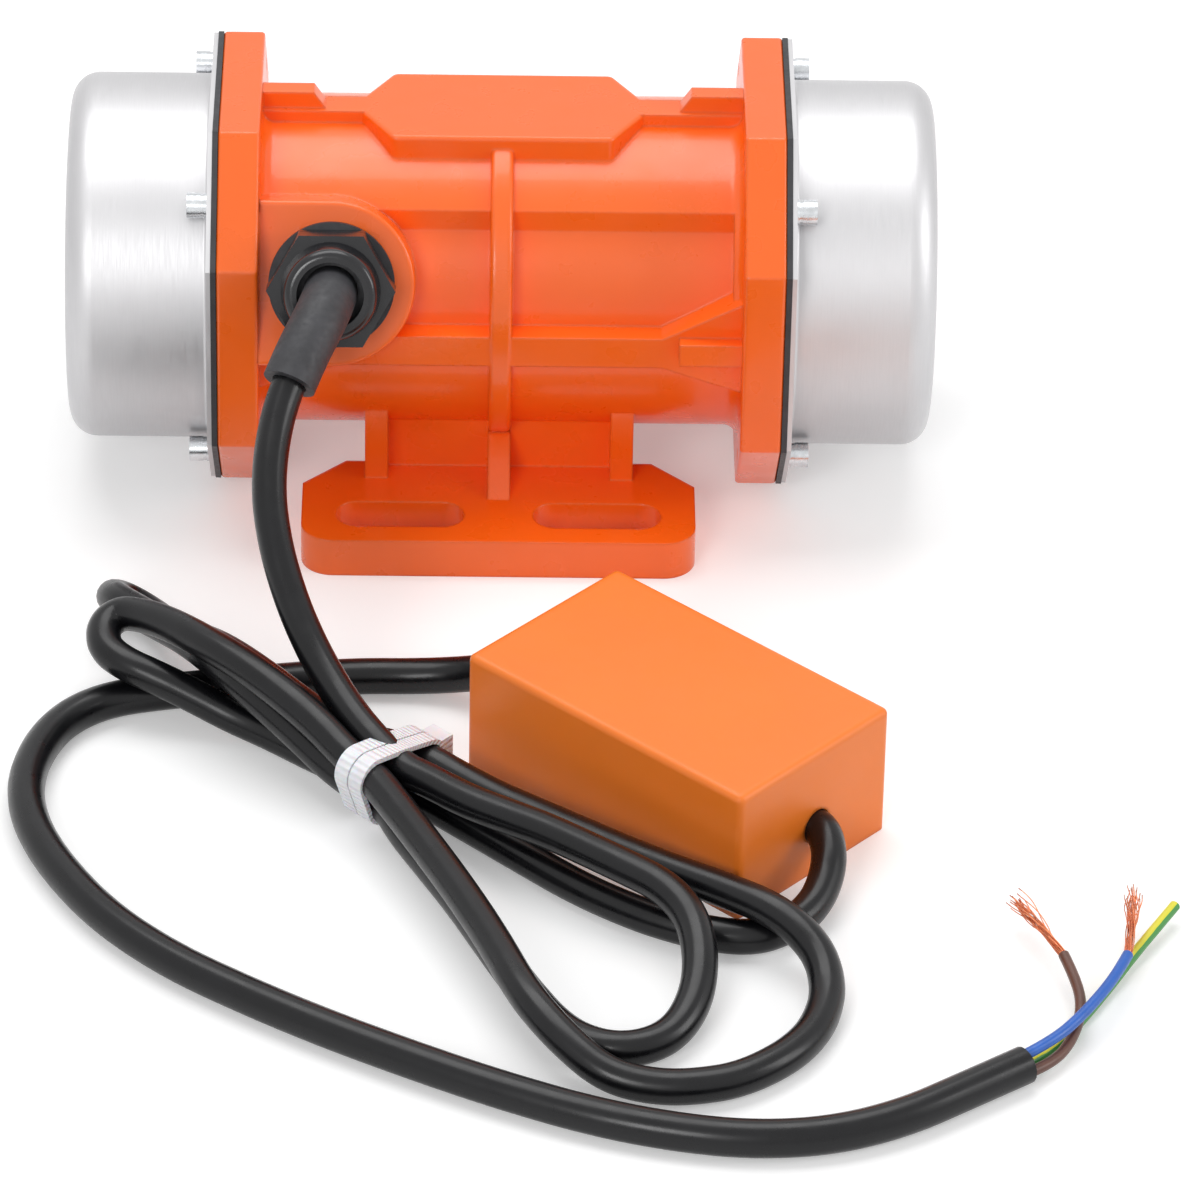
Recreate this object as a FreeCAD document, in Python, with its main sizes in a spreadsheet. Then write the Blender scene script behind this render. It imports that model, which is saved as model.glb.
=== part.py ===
"""Small foot-mounted vibration motor with its control box, leads and cable tie.

Frame: origin at the centre of the foot's underside, +X along the shaft, +Y away from the
cable gland, +Z up. Millimetres. Every driving size lives in the spreadsheet "Sizes"; each
piece below is one document object whose label is the name of its STEP file.
"""

import FreeCAD, Part
import Sketcher
import math
import os
from types import SimpleNamespace

V = FreeCAD.Vector
X_DIR, Y_DIR, Z_DIR = V(1, 0, 0), V(0, 1, 0), V(0, 0, 1)
SIDES = (("right", 1), ("left", -1))

doc = FreeCAD.newDocument("vibration_motor")
sheet = doc.addObject("Spreadsheet::Sheet", "Sizes")
pieces = []


# --------------------------------------------------------------------------- driving sizes

SIZE_TABLE = (
    # casing
    ("shaft_height", 48.5, "shaft axis above the foot's underside"),
    ("barrel_radius", 36.0, "outside of the cast barrel"),
    ("bore_radius", 30.0, "machined stator bore"),
    ("flange_outer_x", 61.2, "machined end face of the casing"),
    ("flange_thickness", 9.0, "end flange"),
    ("flange_across", 88.0, "end flange across its flats"),
    ("flange_chamfer", 22.0, "leg of the flange's corner chamfers"),
    ("flange_root_radius", 3.0, "fillet between barrel and flange"),
    ("flange_edge_radius", 0.8, "outer edges of the flanges"),
    ("recess_floor_radius", 32.6, "floor of the relieved panels"),
    ("recess_step_y", 24.4, "upright wall where the relieved panels begin"),
    ("recess_end_x", 50.2, "end of the relieved panels"),
    ("mid_rib_radius", 38.5, "ring rib at the middle"),
    ("mid_rib_width", 4.8, "ring rib at the middle"),
    ("rib_edge_radius", 1.0, "edges of the cast ribs"),
    ("side_rib_y", 38.0, "face of the ribs at shaft height"),
    ("side_rib_top", 2.7, "above the shaft axis"),
    ("side_rib_bottom", 4.5, "below the shaft axis"),
    ("gusset_start_x", 34.8, "where the side ribs begin to fan out"),
    ("gusset_top", 11.7, "side rib's top at the flange, above the axis"),
    ("gusset_bottom", 10.5, "side rib's underside at the flange, below the axis"),
    ("lug_start_x", 38.6, "small lug on the side rib"),
    ("lug_y", 41.3, "face of the lug"),
    ("lug_top", 3.2, "above the shaft axis"),
    ("lug_bottom", 2.0, "below the shaft axis"),
    ("pad_top", 38.7, "flat pad on top, above the shaft axis"),
    ("pad_half_length", 23.8, "full-width stretch of the top pad"),
    ("pad_half_width", 14.0, "top pad"),
    ("pad_edge_radius", 0.9, "top edges of the pad"),
    ("pad_corner_radius", 2.0, "upright corners of the pad"),
    ("spine_start_x", 30.5, "where the pad has narrowed to the spine"),
    ("spine_half_width", 3.3, "spine on top of the barrel"),
    ("crest_foot_x", 38.4, "start of the slope up to the crest"),
    ("crest_start_x", 41.0, "end of the slope up to the crest"),
    ("crest_top", 42.6, "crest beside each flange, above the shaft axis"),
    ("crest_half_width", 2.1, "crest beside each flange"),
    # pedestal and foot
    ("pedestal_half_length", 29.4, "pedestal along the shaft"),
    ("pedestal_post_width", 5.0, "corner posts of the pedestal"),
    ("pedestal_post_y", 28.5, "outer face of the corner posts"),
    ("pedestal_panel_y", 23.1, "outer face of the panels between the posts"),
    ("pedestal_root", 20.0, "height below the axis at which the pedestal leaves the barrel"),
    ("toe_top_y", 25.0, "where the middle rib's toe begins"),
    ("toe_top", 30.0, "the same point, below the shaft axis"),
    ("toe_foot_y", 37.0, "where the toe meets the foot"),
    ("foot_half_length", 43.0, "foot along the shaft"),
    ("foot_half_width", 54.0, "foot across the shaft"),
    ("foot_thickness", 9.0, "foot plate"),
    ("foot_waist_y", 21.5, "inner edge of the foot's two wings"),
    ("foot_chamfer", 9.4, "inner corners of the wings"),
    ("foot_corner_radius", 7.0, "outer corners of the wings"),
    ("slot_spacing_x", 43.0, "mounting slots, centre to centre"),
    ("slot_spacing_y", 86.0, "mounting slots, centre to centre"),
    ("slot_length", 28.0, "mounting slots, end to end"),
    ("slot_radius", 5.0, "half the mounting slots' width"),
    # cable gland
    ("gland_x", -36.5, "gland axis along the shaft"),
    ("gland_tilt", 22.5, "gland axis above the horizontal, degrees"),
    ("boss_radius", 18.0, "cast boss under the gland"),
    ("boss_face", 40.5, "boss face from the shaft axis"),
    ("boss_edge_radius", 1.0, "rim of the boss"),
    ("gland_thread_radius", 10.0, "M20 thread"),
    ("gland_across_flats", 24.0, "both hexagons"),
    ("gland_washer_radius", 13.6, "sealing washer"),
    ("gland_washer_thickness", 1.5, "sealing washer"),
    ("gland_hex_height", 3.0, "hexagon of the gland body"),
    ("gland_nut_gap", 0.3, "between the two hexagons"),
    ("gland_nut_hex_height", 6.0, "hexagon of the dome nut"),
    ("gland_dome_height", 6.2, "dome above the nut's hexagon"),
    ("gland_dome_radius", 10.7, "dome where it leaves the hexagon"),
    ("gland_dome_taper", 9.0, "dome's draft, degrees"),
    ("gland_dome_rounding", 1.8, "edge of the dome's mouth"),
    ("gland_mouth_radius", 7.2, "opening of the dome"),
    ("gland_stub_length", 5.5, "thread of the gland body in the boss"),
    ("gland_neck_length", 7.0, "thread of the gland body in the nut"),
    ("gland_neck_radius", 9.5, "thread of the gland body in the nut"),
    ("gland_passage_radius", 7.0, "bore of the gland body"),
    ("gland_seal_radius", 8.0, "rubber seal"),
    ("gland_seal_length", 8.4, "rubber seal"),
    ("sleeve_radius", 5.8, "strain relief sleeve"),
    ("lead_radius", 3.7, "motor lead"),
    ("lead_gap", 0.1, "round the lead in sleeve and box"),
    # stator, rotor and windings
    ("core_half_length", 22.0, "stator and rotor packs"),
    ("stator_bore_radius", 17.6, "stator pack"),
    ("air_gap", 0.35, "between rotor and stator"),
    ("slot_count", 18, "stator slots"),
    ("slot_mouth", 1.2, "opening of a stator slot"),
    ("slot_neck", 1.2, "depth of a slot's opening"),
    ("slot_root_radius", 25.0, "bottom of the stator slots"),
    ("slot_top_width", 3.2, "slot width next to the opening"),
    ("slot_root_width", 4.6, "slot width at its bottom"),
    ("slot_liner", 0.25, "insulation round the winding in a slot"),
    ("winding_overhang", 15.0, "end turns beyond the pack"),
    ("winding_inner_radius", 19.6, "end turns"),
    ("winding_outer_radius", 27.6, "end turns"),
    ("cage_ring_length", 5.0, "short-circuit rings of the rotor"),
    ("cage_ring_inner_radius", 11.5, "short-circuit rings of the rotor"),
    ("rotor_seat_radius", 9.0, "shaft inside the rotor pack"),
    # bearings, 15 x 35 x 11 deep groove
    ("bearing_bore_radius", 7.5, "inner ring"),
    ("bearing_outer_radius", 17.5, "outer ring"),
    ("bearing_width", 11.0, "both rings"),
    ("bearing_start_x", 46.2, "inner face of the bearing"),
    ("inner_land_radius", 10.2, "shoulder of the inner ring"),
    ("outer_land_radius", 14.8, "shoulder of the outer ring"),
    ("ball_pitch_radius", 12.5, "circle of ball centres"),
    ("ball_radius", 2.95, "balls"),
    ("ball_gap", 0.1, "between a ball and its tracks or cage"),
    ("ball_count", 8, "balls in one bearing"),
    ("cage_half_width", 3.6, "ball cage"),
    ("cage_half_thickness", 0.8, "ball cage"),
    # end shields
    ("shield_spigot_start_x", 45.0, "inner end of the spigot"),
    ("shield_plate_start_x", 54.2, "shoulder that seats on the casing"),
    ("shield_plate_thickness", 5.0, "outer plate"),
    ("shield_plate_radius", 36.4, "outer plate"),
    ("shield_web_start_x", 51.2, "inner face of the web"),
    ("shield_rim_thickness", 3.0, "spigot wall"),
    ("shield_hub_radius", 21.0, "hub round the bearing"),
    ("shield_lip_radius", 14.0, "lip behind the bearing"),
    ("shield_lip_thickness", 2.0, "lip behind the bearing"),
    ("shield_screw_circle_radius", 33.3, "shield screws"),
    # shaft and weights
    ("shaft_middle_radius", 8.5, "between the rotor and the bearings"),
    ("shaft_end_radius", 7.0, "under the weights"),
    ("shaft_end_x", 86.0, "end of the shaft"),
    ("circlip_thickness", 1.0, "shaft circlips"),
    ("circlip_depth", 0.5, "circlip grooves"),
    ("circlip_land", 1.4, "shaft shoulder that holds the bearing circlips"),
    ("circlip_band", 2.8, "radial width of the circlips"),
    ("circlip_mouth", 7.0, "opening of the circlips"),
    ("weight_start_x", 64.0, "inner face of the fixed weight"),
    ("weight_thickness", 8.0, "each weight"),
    ("weight_gap", 0.5, "between the two weights"),
    ("weight_radius", 34.0, "weights"),
    ("weight_chord", 4.0, "flat edge of a weight, below the axis"),
    ("weight_hub_radius", 12.0, "hub of a weight"),
    ("ear_half_width", 10.0, "clamping ears of the adjustable weight"),
    ("ear_top", 16.5, "clamping ears, above the axis"),
    ("clamp_slit", 2.0, "slit between the ears"),
    ("clamp_bolt_height", 11.8, "clamp bolt above the axis"),
    ("clamp_bolt_radius", 2.0, "M4 clamp bolt"),
    ("key_half_width", 2.0, "keys of the fixed weights"),
    ("key_bottom", 4.8, "underside of a key, from the axis"),
    ("key_top", 9.0, "top of a key, from the axis"),
    # covers
    ("gasket_thickness", 1.2, "cover gaskets"),
    ("cover_radius", 40.0, "outside of the covers"),
    ("cover_wall", 1.0, "sheet of the covers"),
    ("cover_end_x", 94.2, "closed end of the covers"),
    ("cover_corner_radius", 6.0, "outer corner of the closed end"),
    ("cover_root_radius", 0.8, "fillet between cover and its rim"),
    ("cover_rim_inset", 0.2, "cover rim inside the flange's outline"),
    ("screw_circle_radius", 43.6, "cover screws"),
    ("screw_radius", 1.5, "M3 screws"),
    ("screw_head_radius", 2.75, "M3 socket heads"),
    ("screw_head_height", 3.0, "M3 socket heads"),
    ("screw_socket_radius", 1.35, "hexagon socket, across its corners"),
    ("screw_socket_depth", 1.6, "hexagon socket"),
    ("screw_length", 9.0, "under the head"),
    ("washer_radius", 2.8, "flat washers"),
    ("washer_thickness", 0.5, "flat washers"),
    ("spring_washer_radius", 2.6, "spring washers"),
    ("spring_washer_thickness", 0.8, "spring washers"),
    # fits
    ("seat_gap", 0.02, "pressed seats"),
    ("spigot_gap", 0.05, "register fits"),
    ("weight_bore_gap", 0.08, "weights on the shaft"),
    ("clip_gap", 0.1, "adjustable weights along the shaft"),
    ("hole_gap", 0.2, "clearance holes round screws"),
    ("thread_gap", 0.03, "tapped holes round screws"),
    # control box
    ("box_x", 37.2, "box centre on the floor"),
    ("box_y", -138.2, "box centre on the floor"),
    ("box_turn", -42.95, "box length against the shaft, degrees"),
    ("box_length", 76.4, "control box"),
    ("box_width", 46.2, "control box"),
    ("box_height", 30.0, "control box"),
    ("box_wall", 2.0, "control box"),
    ("box_corner_radius", 1.5, "outer edges of the box"),
    ("box_plate_thickness", 2.0, "base plate of the box"),
    ("box_plate_gap", 0.1, "round the base plate"),
    ("box_hole_height", 11.5, "lead holes above the floor"),
    ("box_pillar_radius", 3.2, "screw pillars in the box's corners"),
    ("box_screw_length", 8.0, "base plate screws"),
    ("box_screw_room", 0.5, "thread left free under a base plate screw"),
    ("box_head_depth", 1.2, "counterbores for the base plate screws"),
    ("box_head_sink", 0.1, "screw heads below the base plate's face"),
    ("capacitor_length", 38.0, "run capacitor"),
    ("capacitor_width", 20.0, "run capacitor"),
    ("capacitor_height", 20.0, "run capacitor"),
    ("capacitor_corner_radius", 1.5, "run capacitor"),
    ("capacitor_offset", 9.0, "run capacitor from the box's centre"),
    ("terminal_length", 12.0, "terminal block along the box"),
    ("terminal_width", 30.0, "terminal block across the box"),
    ("terminal_height", 9.0, "terminal block"),
    ("terminal_offset", 22.0, "terminal block centre from the box's centre"),
    ("terminal_well_radius", 1.8, "screw wells of the terminal block"),
    ("terminal_well_depth", 3.0, "screw wells of the terminal block"),
    ("terminal_pitch", 6.6, "screw wells, centre to centre"),
    ("terminal_row_gap", 6.4, "between the two rows of screw wells"),
    ("clamp_length", 3.0, "lead clamps along the lead"),
    ("clamp_width", 14.0, "lead clamps across the lead"),
    ("clamp_rise", 6.0, "top of the lead clamps above the lead's centre"),
    ("clamp_gap", 0.6, "between a clamp and the box's end wall"),
    # leads
    ("supply_radius", 3.9, "supply lead"),
    ("core_radius", 1.15, "insulated cores"),
    ("strand_radius", 0.7, "bare copper bundles"),
    ("hank_height", 16.5, "tied lead, lying part"),
    ("hank_lift", 8.2, "underside of the loops that lie over the supply lead"),
    ("hank_loop_height", 22.0, "top of those loops"),
    ("tie_x", -22.1, "cable tie centre"),
    ("tie_y", -143.3, "cable tie centre"),
    ("tie_turn", -44.0, "bundle direction at the tie, degrees"),
    ("tie_thickness", 1.1, "nylon strap"),
    ("tie_width", 3.6, "nylon strap, one turn"),
    ("tie_turn_gap", 0.4, "between the strap's two turns"),
    ("tie_gap", 0.2, "between the strap and the bundle"),
    ("tie_head_length", 5.8, "locking head along the bundle"),
    ("tie_head_depth", 3.6, "locking head outside the bundle"),
    ("tie_head_height", 5.0, "locking head"),
    ("tie_head_sink", 0.6, "how far the head reaches into the strap"),
)


class Size:
    """A length, angle or count that carries its number and its spreadsheet expression."""

    def __init__(self, number, text):
        self.number = float(number)
        self.text = text

    def __float__(self):
        return self.number

    def __add__(self, other):
        other = as_size(other)
        return Size(self.number + other.number, f"({self.text} + {other.text})")

    def __sub__(self, other):
        other = as_size(other)
        return Size(self.number - other.number, f"({self.text} - {other.text})")

    def __mul__(self, other):
        other = as_size(other)
        return Size(self.number * other.number, f"({self.text} * {other.text})")

    def __truediv__(self, other):
        other = as_size(other)
        return Size(self.number / other.number, f"({self.text} / {other.text})")

    def __radd__(self, other):
        return as_size(other) + self

    def __rsub__(self, other):
        return as_size(other) - self

    def __rmul__(self, other):
        return as_size(other) * self

    def __neg__(self):
        return as_size(0.0) - self


def as_size(value):
    """A plain number becomes a Size with a constant expression."""
    return value if isinstance(value, Size) else Size(value, f"{float(value):.6f}")


def fill_sheet():
    """Write the driving sizes to the sheet and return them under their names."""
    named = {}
    for row, (alias, number, note) in enumerate(SIZE_TABLE, start=1):
        sheet.set(f"A{row}", alias)
        sheet.set(f"B{row}", str(number))
        sheet.setAlias(f"B{row}", alias)
        sheet.set(f"C{row}", note)
        named[alias] = Size(number, f"Sizes.{alias}")
    doc.recompute()
    return SimpleNamespace(**named)


size = fill_sheet()


# --------------------------------------------------------------------------- sketch helpers

def bind(target, prop, value):
    """Drive one property by the sheet."""
    target.setExpression(prop, as_size(value).text)


def origin_feature(body, role):
    """One of the body's own planes or axes."""
    for feature in body.Origin.OriginFeatures:
        if feature.Role == role:
            return feature
    raise ValueError(role)


def start_body(name, height=None):
    """A PartDesign body; height lifts its own origin above the floor."""
    body = doc.addObject("PartDesign::Body", name)
    body.Label = name
    body.AllowCompound = True
    if height is not None:
        bind(body, "Placement.Base.z", height)
    pieces.append(body)
    return body


def start_motor_body(name):
    """A body whose own origin lies on the shaft axis."""
    return start_body(name, size.shaft_height)


def new_sketch(body, role, lift=0.0):
    """A sketch on an origin plane, moved by lift along the plane's normal."""
    sketch = body.newObject("Sketcher::SketchObject", "Sketch")
    sketch.AttachmentSupport = [(origin_feature(body, role), "")]
    sketch.MapMode = "FlatFace"
    bind(sketch, "AttachmentOffset.Base.z", lift)
    return sketch


def hold_point(sketch, curve, end, across, up):
    """Fix a point of a curve by two driven distances from the sketch's origin."""
    for kind, value in (("DistanceX", across), ("DistanceY", up)):
        value = as_size(value)
        row = sketch.addConstraint(Sketcher.Constraint(kind, -1, 1, curve, end, value.number))
        sketch.setExpression(f"Constraints[{row}]", value.text)


def hold_radius(sketch, curve, radius):
    radius = as_size(radius)
    row = sketch.addConstraint(Sketcher.Constraint("Radius", curve, radius.number))
    sketch.setExpression(f"Constraints[{row}]", radius.text)


def draw_outline(sketch, corners):
    """A closed straight-sided outline with every corner driven."""
    first = sketch.GeometryCount
    count = len(corners)
    points = [V(float(across), float(up), 0) for across, up in corners]
    for number in range(count):
        sketch.addGeometry(Part.LineSegment(points[number], points[(number + 1) % count]), False)
    for number in range(count):
        after = first + (number + 1) % count
        sketch.addConstraint(Sketcher.Constraint("Coincident", first + number, 2, after, 1))
    for number, (across, up) in enumerate(corners):
        hold_point(sketch, first + number, 1, across, up)


def draw_circle(sketch, radius, across=0.0, up=0.0):
    centre = V(float(as_size(across)), float(as_size(up)), 0)
    curve = sketch.addGeometry(Part.Circle(centre, Z_DIR, float(as_size(radius))), False)
    hold_radius(sketch, curve, radius)
    hold_point(sketch, curve, 3, across, up)


def draw_slot(sketch, across, up, length, radius):
    """A round-ended slot along the sketch's first axis."""
    reach = length / 2 - radius
    ends = (across - reach, across + reach)
    arcs = []
    for centre, start in zip(ends, (math.pi / 2, -math.pi / 2)):
        circle = Part.Circle(V(float(centre), float(up), 0), Z_DIR, float(radius))
        arcs.append(sketch.addGeometry(Part.ArcOfCircle(circle, start, start + math.pi), False))
    sides = []
    for sign in (-1, 1):
        tail = V(float(ends[0]), float(up) + sign * float(radius), 0)
        nose = V(float(ends[1]), float(up) + sign * float(radius), 0)
        line = Part.LineSegment(tail, nose) if sign < 0 else Part.LineSegment(nose, tail)
        sides.append(sketch.addGeometry(line, False))
    ring = (arcs[0], sides[0], arcs[1], sides[1])
    for number, curve in enumerate(ring):
        after = ring[(number + 1) % 4]
        sketch.addConstraint(Sketcher.Constraint("Tangent", curve, 2, after, 1))
    sketch.addConstraint(Sketcher.Constraint("Equal", arcs[0], arcs[1]))
    hold_radius(sketch, arcs[0], radius)
    for arc, centre in zip(arcs, ends):
        hold_point(sketch, arc, 3, centre, up)


def rectangle(across_from, across_to, up_from, up_to):
    """Corners of a rectangle, in order."""
    return (
        (across_from, up_from),
        (across_to, up_from),
        (across_to, up_to),
        (across_from, up_to),
    )


def octagon(across, chamfer):
    """Corners of a square with equal corner chamfers."""
    half = across / 2
    flat = half - chamfer
    return (
        (half, -flat), (half, flat), (flat, half), (-flat, half),
        (-half, flat), (-half, -flat), (-flat, -half), (flat, -half),
    )


def hexagon(across_flats):
    """Corners of a regular hexagon with two corners on the first axis."""
    corner = across_flats / math.sqrt(3)
    half = across_flats / 2
    return (
        (corner, 0.0), (corner / 2, half), (-corner / 2, half),
        (-corner, 0.0), (-corner / 2, -half), (corner / 2, -half),
    )


# --------------------------------------------------------------------------- feature helpers

def pad(body, sketch, length):
    """Add material along the sketch's normal."""
    feature = body.newObject("PartDesign::Pad", "Pad")
    feature.Profile = sketch
    bind(feature, "Length", length)
    body.Tip = feature
    return feature


def pocket(body, sketch, length):
    """Remove material along the sketch's normal, and make sure that some went."""
    doc.recompute()
    before = body.Shape.Volume
    feature = body.newObject("PartDesign::Pocket", "Pocket")
    feature.Profile = sketch
    feature.Reversed = True
    bind(feature, "Length", length)
    body.Tip = feature
    doc.recompute()
    if not body.Shape.Volume < before:
        raise RuntimeError(f"{body.Label}: a pocket removed nothing")
    return feature


def pad_outline(body, role, lift, corners, length):
    sketch = new_sketch(body, role, lift)
    draw_outline(sketch, corners)
    return pad(body, sketch, length)


def pad_circle(body, role, lift, radius, length):
    sketch = new_sketch(body, role, lift)
    draw_circle(sketch, radius)
    return pad(body, sketch, length)


def pocket_outline(body, role, lift, corners, length):
    sketch = new_sketch(body, role, lift)
    draw_outline(sketch, corners)
    return pocket(body, sketch, length)


def pocket_circle(body, role, lift, radius, length, across=0.0, up=0.0):
    sketch = new_sketch(body, role, lift)
    draw_circle(sketch, radius, across, up)
    return pocket(body, sketch, length)


def revolve(body, corners, role="XZ_Plane", axis="X_Axis"):
    """Turn a straight-sided outline about one of the body's own axes."""
    sketch = new_sketch(body, role)
    draw_outline(sketch, corners)
    feature = body.newObject("PartDesign::Revolution", "Revolution")
    feature.Profile = sketch
    feature.ReferenceAxis = (origin_feature(body, axis), [""])
    feature.Angle = 360
    body.Tip = feature
    return feature


def around_shaft(body, feature, count):
    """Repeat a feature evenly about the shaft axis."""
    pattern = body.newObject("PartDesign::PolarPattern", "PolarPattern")
    pattern.Originals = [feature]
    pattern.Axis = (origin_feature(body, "X_Axis"), [""])
    pattern.Angle = 360
    bind(pattern, "Occurrences", count)
    body.Tip = pattern
    doc.recompute()
    return pattern


def round_edges(body, radius, test):
    """Fillet the edges of the body that pass the test."""
    doc.recompute()
    base = body.Tip
    edges = enumerate(base.Shape.Edges, start=1)
    names = [f"Edge{n}" for n, edge in edges if not edge.Degenerated and test(edge)]
    if not names:
        raise RuntimeError(f"{body.Label}: no edge to round")
    feature = body.newObject("PartDesign::Fillet", "Fillet")
    feature.Base = (base, names)
    bind(feature, "Radius", radius)
    body.Tip = feature
    doc.recompute()
    return feature


def is_circle(edge, radius, x):
    """True for a full circle of that radius in the plane at that x."""
    curve = edge.Curve
    round_edge = isinstance(curve, Part.Circle) and abs(curve.Radius - float(radius)) < 1e-4
    return round_edge and abs(edge.BoundBox.Center.x - float(x)) < 1e-4


def low_high(side, inner, outer):
    """Start and length of a stretch between two distances from the middle, on one side."""
    start = inner if side > 0 else -outer
    return start, outer - inner


# --------------------------------------------------------------------------- casing

def make_casing():
    """Cast casing: barrel, end flanges, ribs, top pad, gland boss, pedestal and foot."""
    body = start_motor_body("motor_casing")
    inner_x = size.flange_outer_x - size.flange_thickness
    floor = -size.shaft_height
    foot_top = floor + size.foot_thickness

    # foot with two slotted wings
    wing, width, waist = size.foot_half_length, size.foot_half_width, size.foot_waist_y
    slope = size.foot_chamfer
    quarter = (
        (size.pedestal_half_length, waist),
        (wing - slope, waist),
        (wing, waist + slope),
        (wing, width),
    )
    outline = [(x, y) for x, y in quarter]
    outline += [(-x, y) for x, y in reversed(quarter)]
    outline += [(-x, -y) for x, y in quarter]
    outline += [(x, -y) for x, y in reversed(quarter)]
    pad_outline(body, "XY_Plane", floor, outline, size.foot_thickness)

    def outer_corner(edge):
        middle = edge.BoundBox.Center
        upright = edge.BoundBox.ZLength > float(size.foot_thickness) / 2
        return upright and abs(abs(middle.y) - float(width)) < 1e-4

    round_edges(body, size.foot_corner_radius, outer_corner)
    slots = new_sketch(body, "XY_Plane", floor)
    for x_sign in (-1, 1):
        for y_sign in (-1, 1):
            centre = (x_sign * size.slot_spacing_x / 2, y_sign * size.slot_spacing_y / 2)
            draw_slot(slots, *centre, size.slot_length, size.slot_radius)
    pocket(body, slots, size.foot_thickness)

    # barrel between two octagonal flanges
    pad_circle(body, "YZ_Plane", -inner_x, size.barrel_radius, 2 * inner_x)
    for start in (inner_x, -size.flange_outer_x):
        outline = octagon(size.flange_across, size.flange_chamfer)
        pad_outline(body, "YZ_Plane", start, outline, size.flange_thickness)

    def flange_edge(edge):
        straight = isinstance(edge.Curve, Part.Line)
        return straight and abs(edge.BoundBox.Center.x) > float(inner_x) - 1e-4

    round_edges(body, size.flange_edge_radius, flange_edge)

    def flange_root(edge):
        return any(is_circle(edge, size.barrel_radius, sign * inner_x) for sign in (-1, 1))

    round_edges(body, size.flange_root_radius, flange_root)

    # relieved panels: the barrel is cut back outside an upright step, down to a smaller radius
    outside = size.barrel_radius + size.flange_root_radius
    recess = new_sketch(body, "YZ_Plane", -size.recess_end_x)
    for sign in (-1, 1):
        draw_outline(
            recess,
            rectangle(sign * size.recess_step_y, sign * outside, 0.0, outside),
        )
    pocket(body, recess, 2 * size.recess_end_x)
    pad_circle(body, "YZ_Plane", -inner_x, size.recess_floor_radius, 2 * inner_x)

    # ring rib at the middle, ribs at shaft height that fan out into the flanges
    rib_start = -size.mid_rib_width / 2
    pad_circle(body, "YZ_Plane", rib_start, size.mid_rib_radius, size.mid_rib_width)

    def ring_edge(edge):
        return any(is_circle(edge, size.mid_rib_radius, x) for x in (rib_start, -rib_start))

    round_edges(body, size.rib_edge_radius, ring_edge)
    quarter = (
        (size.gusset_start_x, size.side_rib_top, -size.side_rib_bottom),
        (inner_x, size.gusset_top, -size.gusset_bottom),
    )
    outline = [(x, top) for x, top, _ in quarter]
    outline += [(x, bottom) for x, _, bottom in reversed(quarter)]
    outline += [(-x, bottom) for x, _, bottom in quarter]
    outline += [(-x, top) for x, top, _ in reversed(quarter)]
    pad_outline(body, "XZ_Plane", -size.side_rib_y, outline, 2 * size.side_rib_y)
    for _, side in SIDES:
        lug = rectangle(
            side * size.lug_start_x, side * inner_x, -size.lug_bottom, size.lug_top
        )
        lug_reach = 2 * size.lug_y if side > 0 else size.lug_y
        pad_outline(body, "XZ_Plane", -size.lug_y, lug, lug_reach)

    # top pad that narrows into a spine, with a crest beside each flange
    long, slim = size.pad_half_length, size.spine_start_x
    wide, thin = size.pad_half_width, size.spine_half_width
    outline = (
        (long, -wide), (slim, -thin), (slim, thin), (long, wide),
        (-long, wide), (-slim, thin), (-slim, -thin), (-long, -wide),
    )
    root = size.bore_radius
    pad_outline(body, "XY_Plane", root, outline, size.pad_top - root)

    def pad_corner(edge):
        box = edge.BoundBox
        at_corner = abs(abs(box.Center.y) - float(wide)) < 1e-4 and box.YLength < 1e-4
        upright = box.XLength < 1e-4 and box.ZLength > 1.0
        return at_corner and upright and abs(abs(box.Center.x) - float(long)) < 1e-4

    def pad_rim(edge):
        box = edge.BoundBox
        level = abs(box.ZMin - float(size.pad_top)) < 1e-4 and box.ZLength < 1e-4
        return level and abs(box.Center.y) > 1.0

    round_edges(body, size.pad_corner_radius, pad_corner)
    round_edges(body, size.pad_edge_radius, pad_rim)
    outline = rectangle(-inner_x, inner_x, -thin, thin)
    pad_outline(body, "XY_Plane", root, outline, size.pad_top - root)
    for _, side in SIDES:
        crest = (
            (side * size.crest_foot_x, root),
            (side * inner_x, root),
            (side * inner_x, size.crest_top),
            (side * size.crest_start_x, size.crest_top),
            (side * size.crest_foot_x, size.pad_top),
        )
        half = size.crest_half_width
        pad_outline(body, "XZ_Plane", -half, crest, 2 * half)

    # pedestal: panels between four corner posts, and the toe of the middle rib
    long = size.pedestal_half_length
    post = size.pedestal_post_width
    panel = rectangle(
        -size.pedestal_panel_y, size.pedestal_panel_y, foot_top, -size.pedestal_root
    )
    pad_outline(body, "YZ_Plane", -long, panel, 2 * long)
    posts = rectangle(
        -size.pedestal_post_y, size.pedestal_post_y, foot_top, -size.pedestal_root
    )
    for start in (-long, long - post):
        pad_outline(body, "YZ_Plane", start, posts, post)
    toe = (
        (-size.toe_foot_y, foot_top),
        (size.toe_foot_y, foot_top),
        (size.toe_top_y, -size.toe_top),
        (-size.toe_top_y, -size.toe_top),
    )
    pad_outline(body, "YZ_Plane", rib_start, toe, size.mid_rib_width)

    # gland boss: a round boss carried on to the flange, square to the tilted gland axis
    def tilted_sketch():
        sketch = new_sketch(body, "XY_Plane")
        turn = FreeCAD.Rotation(X_DIR, 90 - float(size.gland_tilt))
        sketch.AttachmentOffset = FreeCAD.Placement(V(float(size.gland_x), 0, 0), turn)
        bind(sketch, "AttachmentOffset.Base.x", size.gland_x)
        bind(sketch, "AttachmentOffset.Rotation.Angle", 90 - size.gland_tilt)
        return sketch

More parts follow.
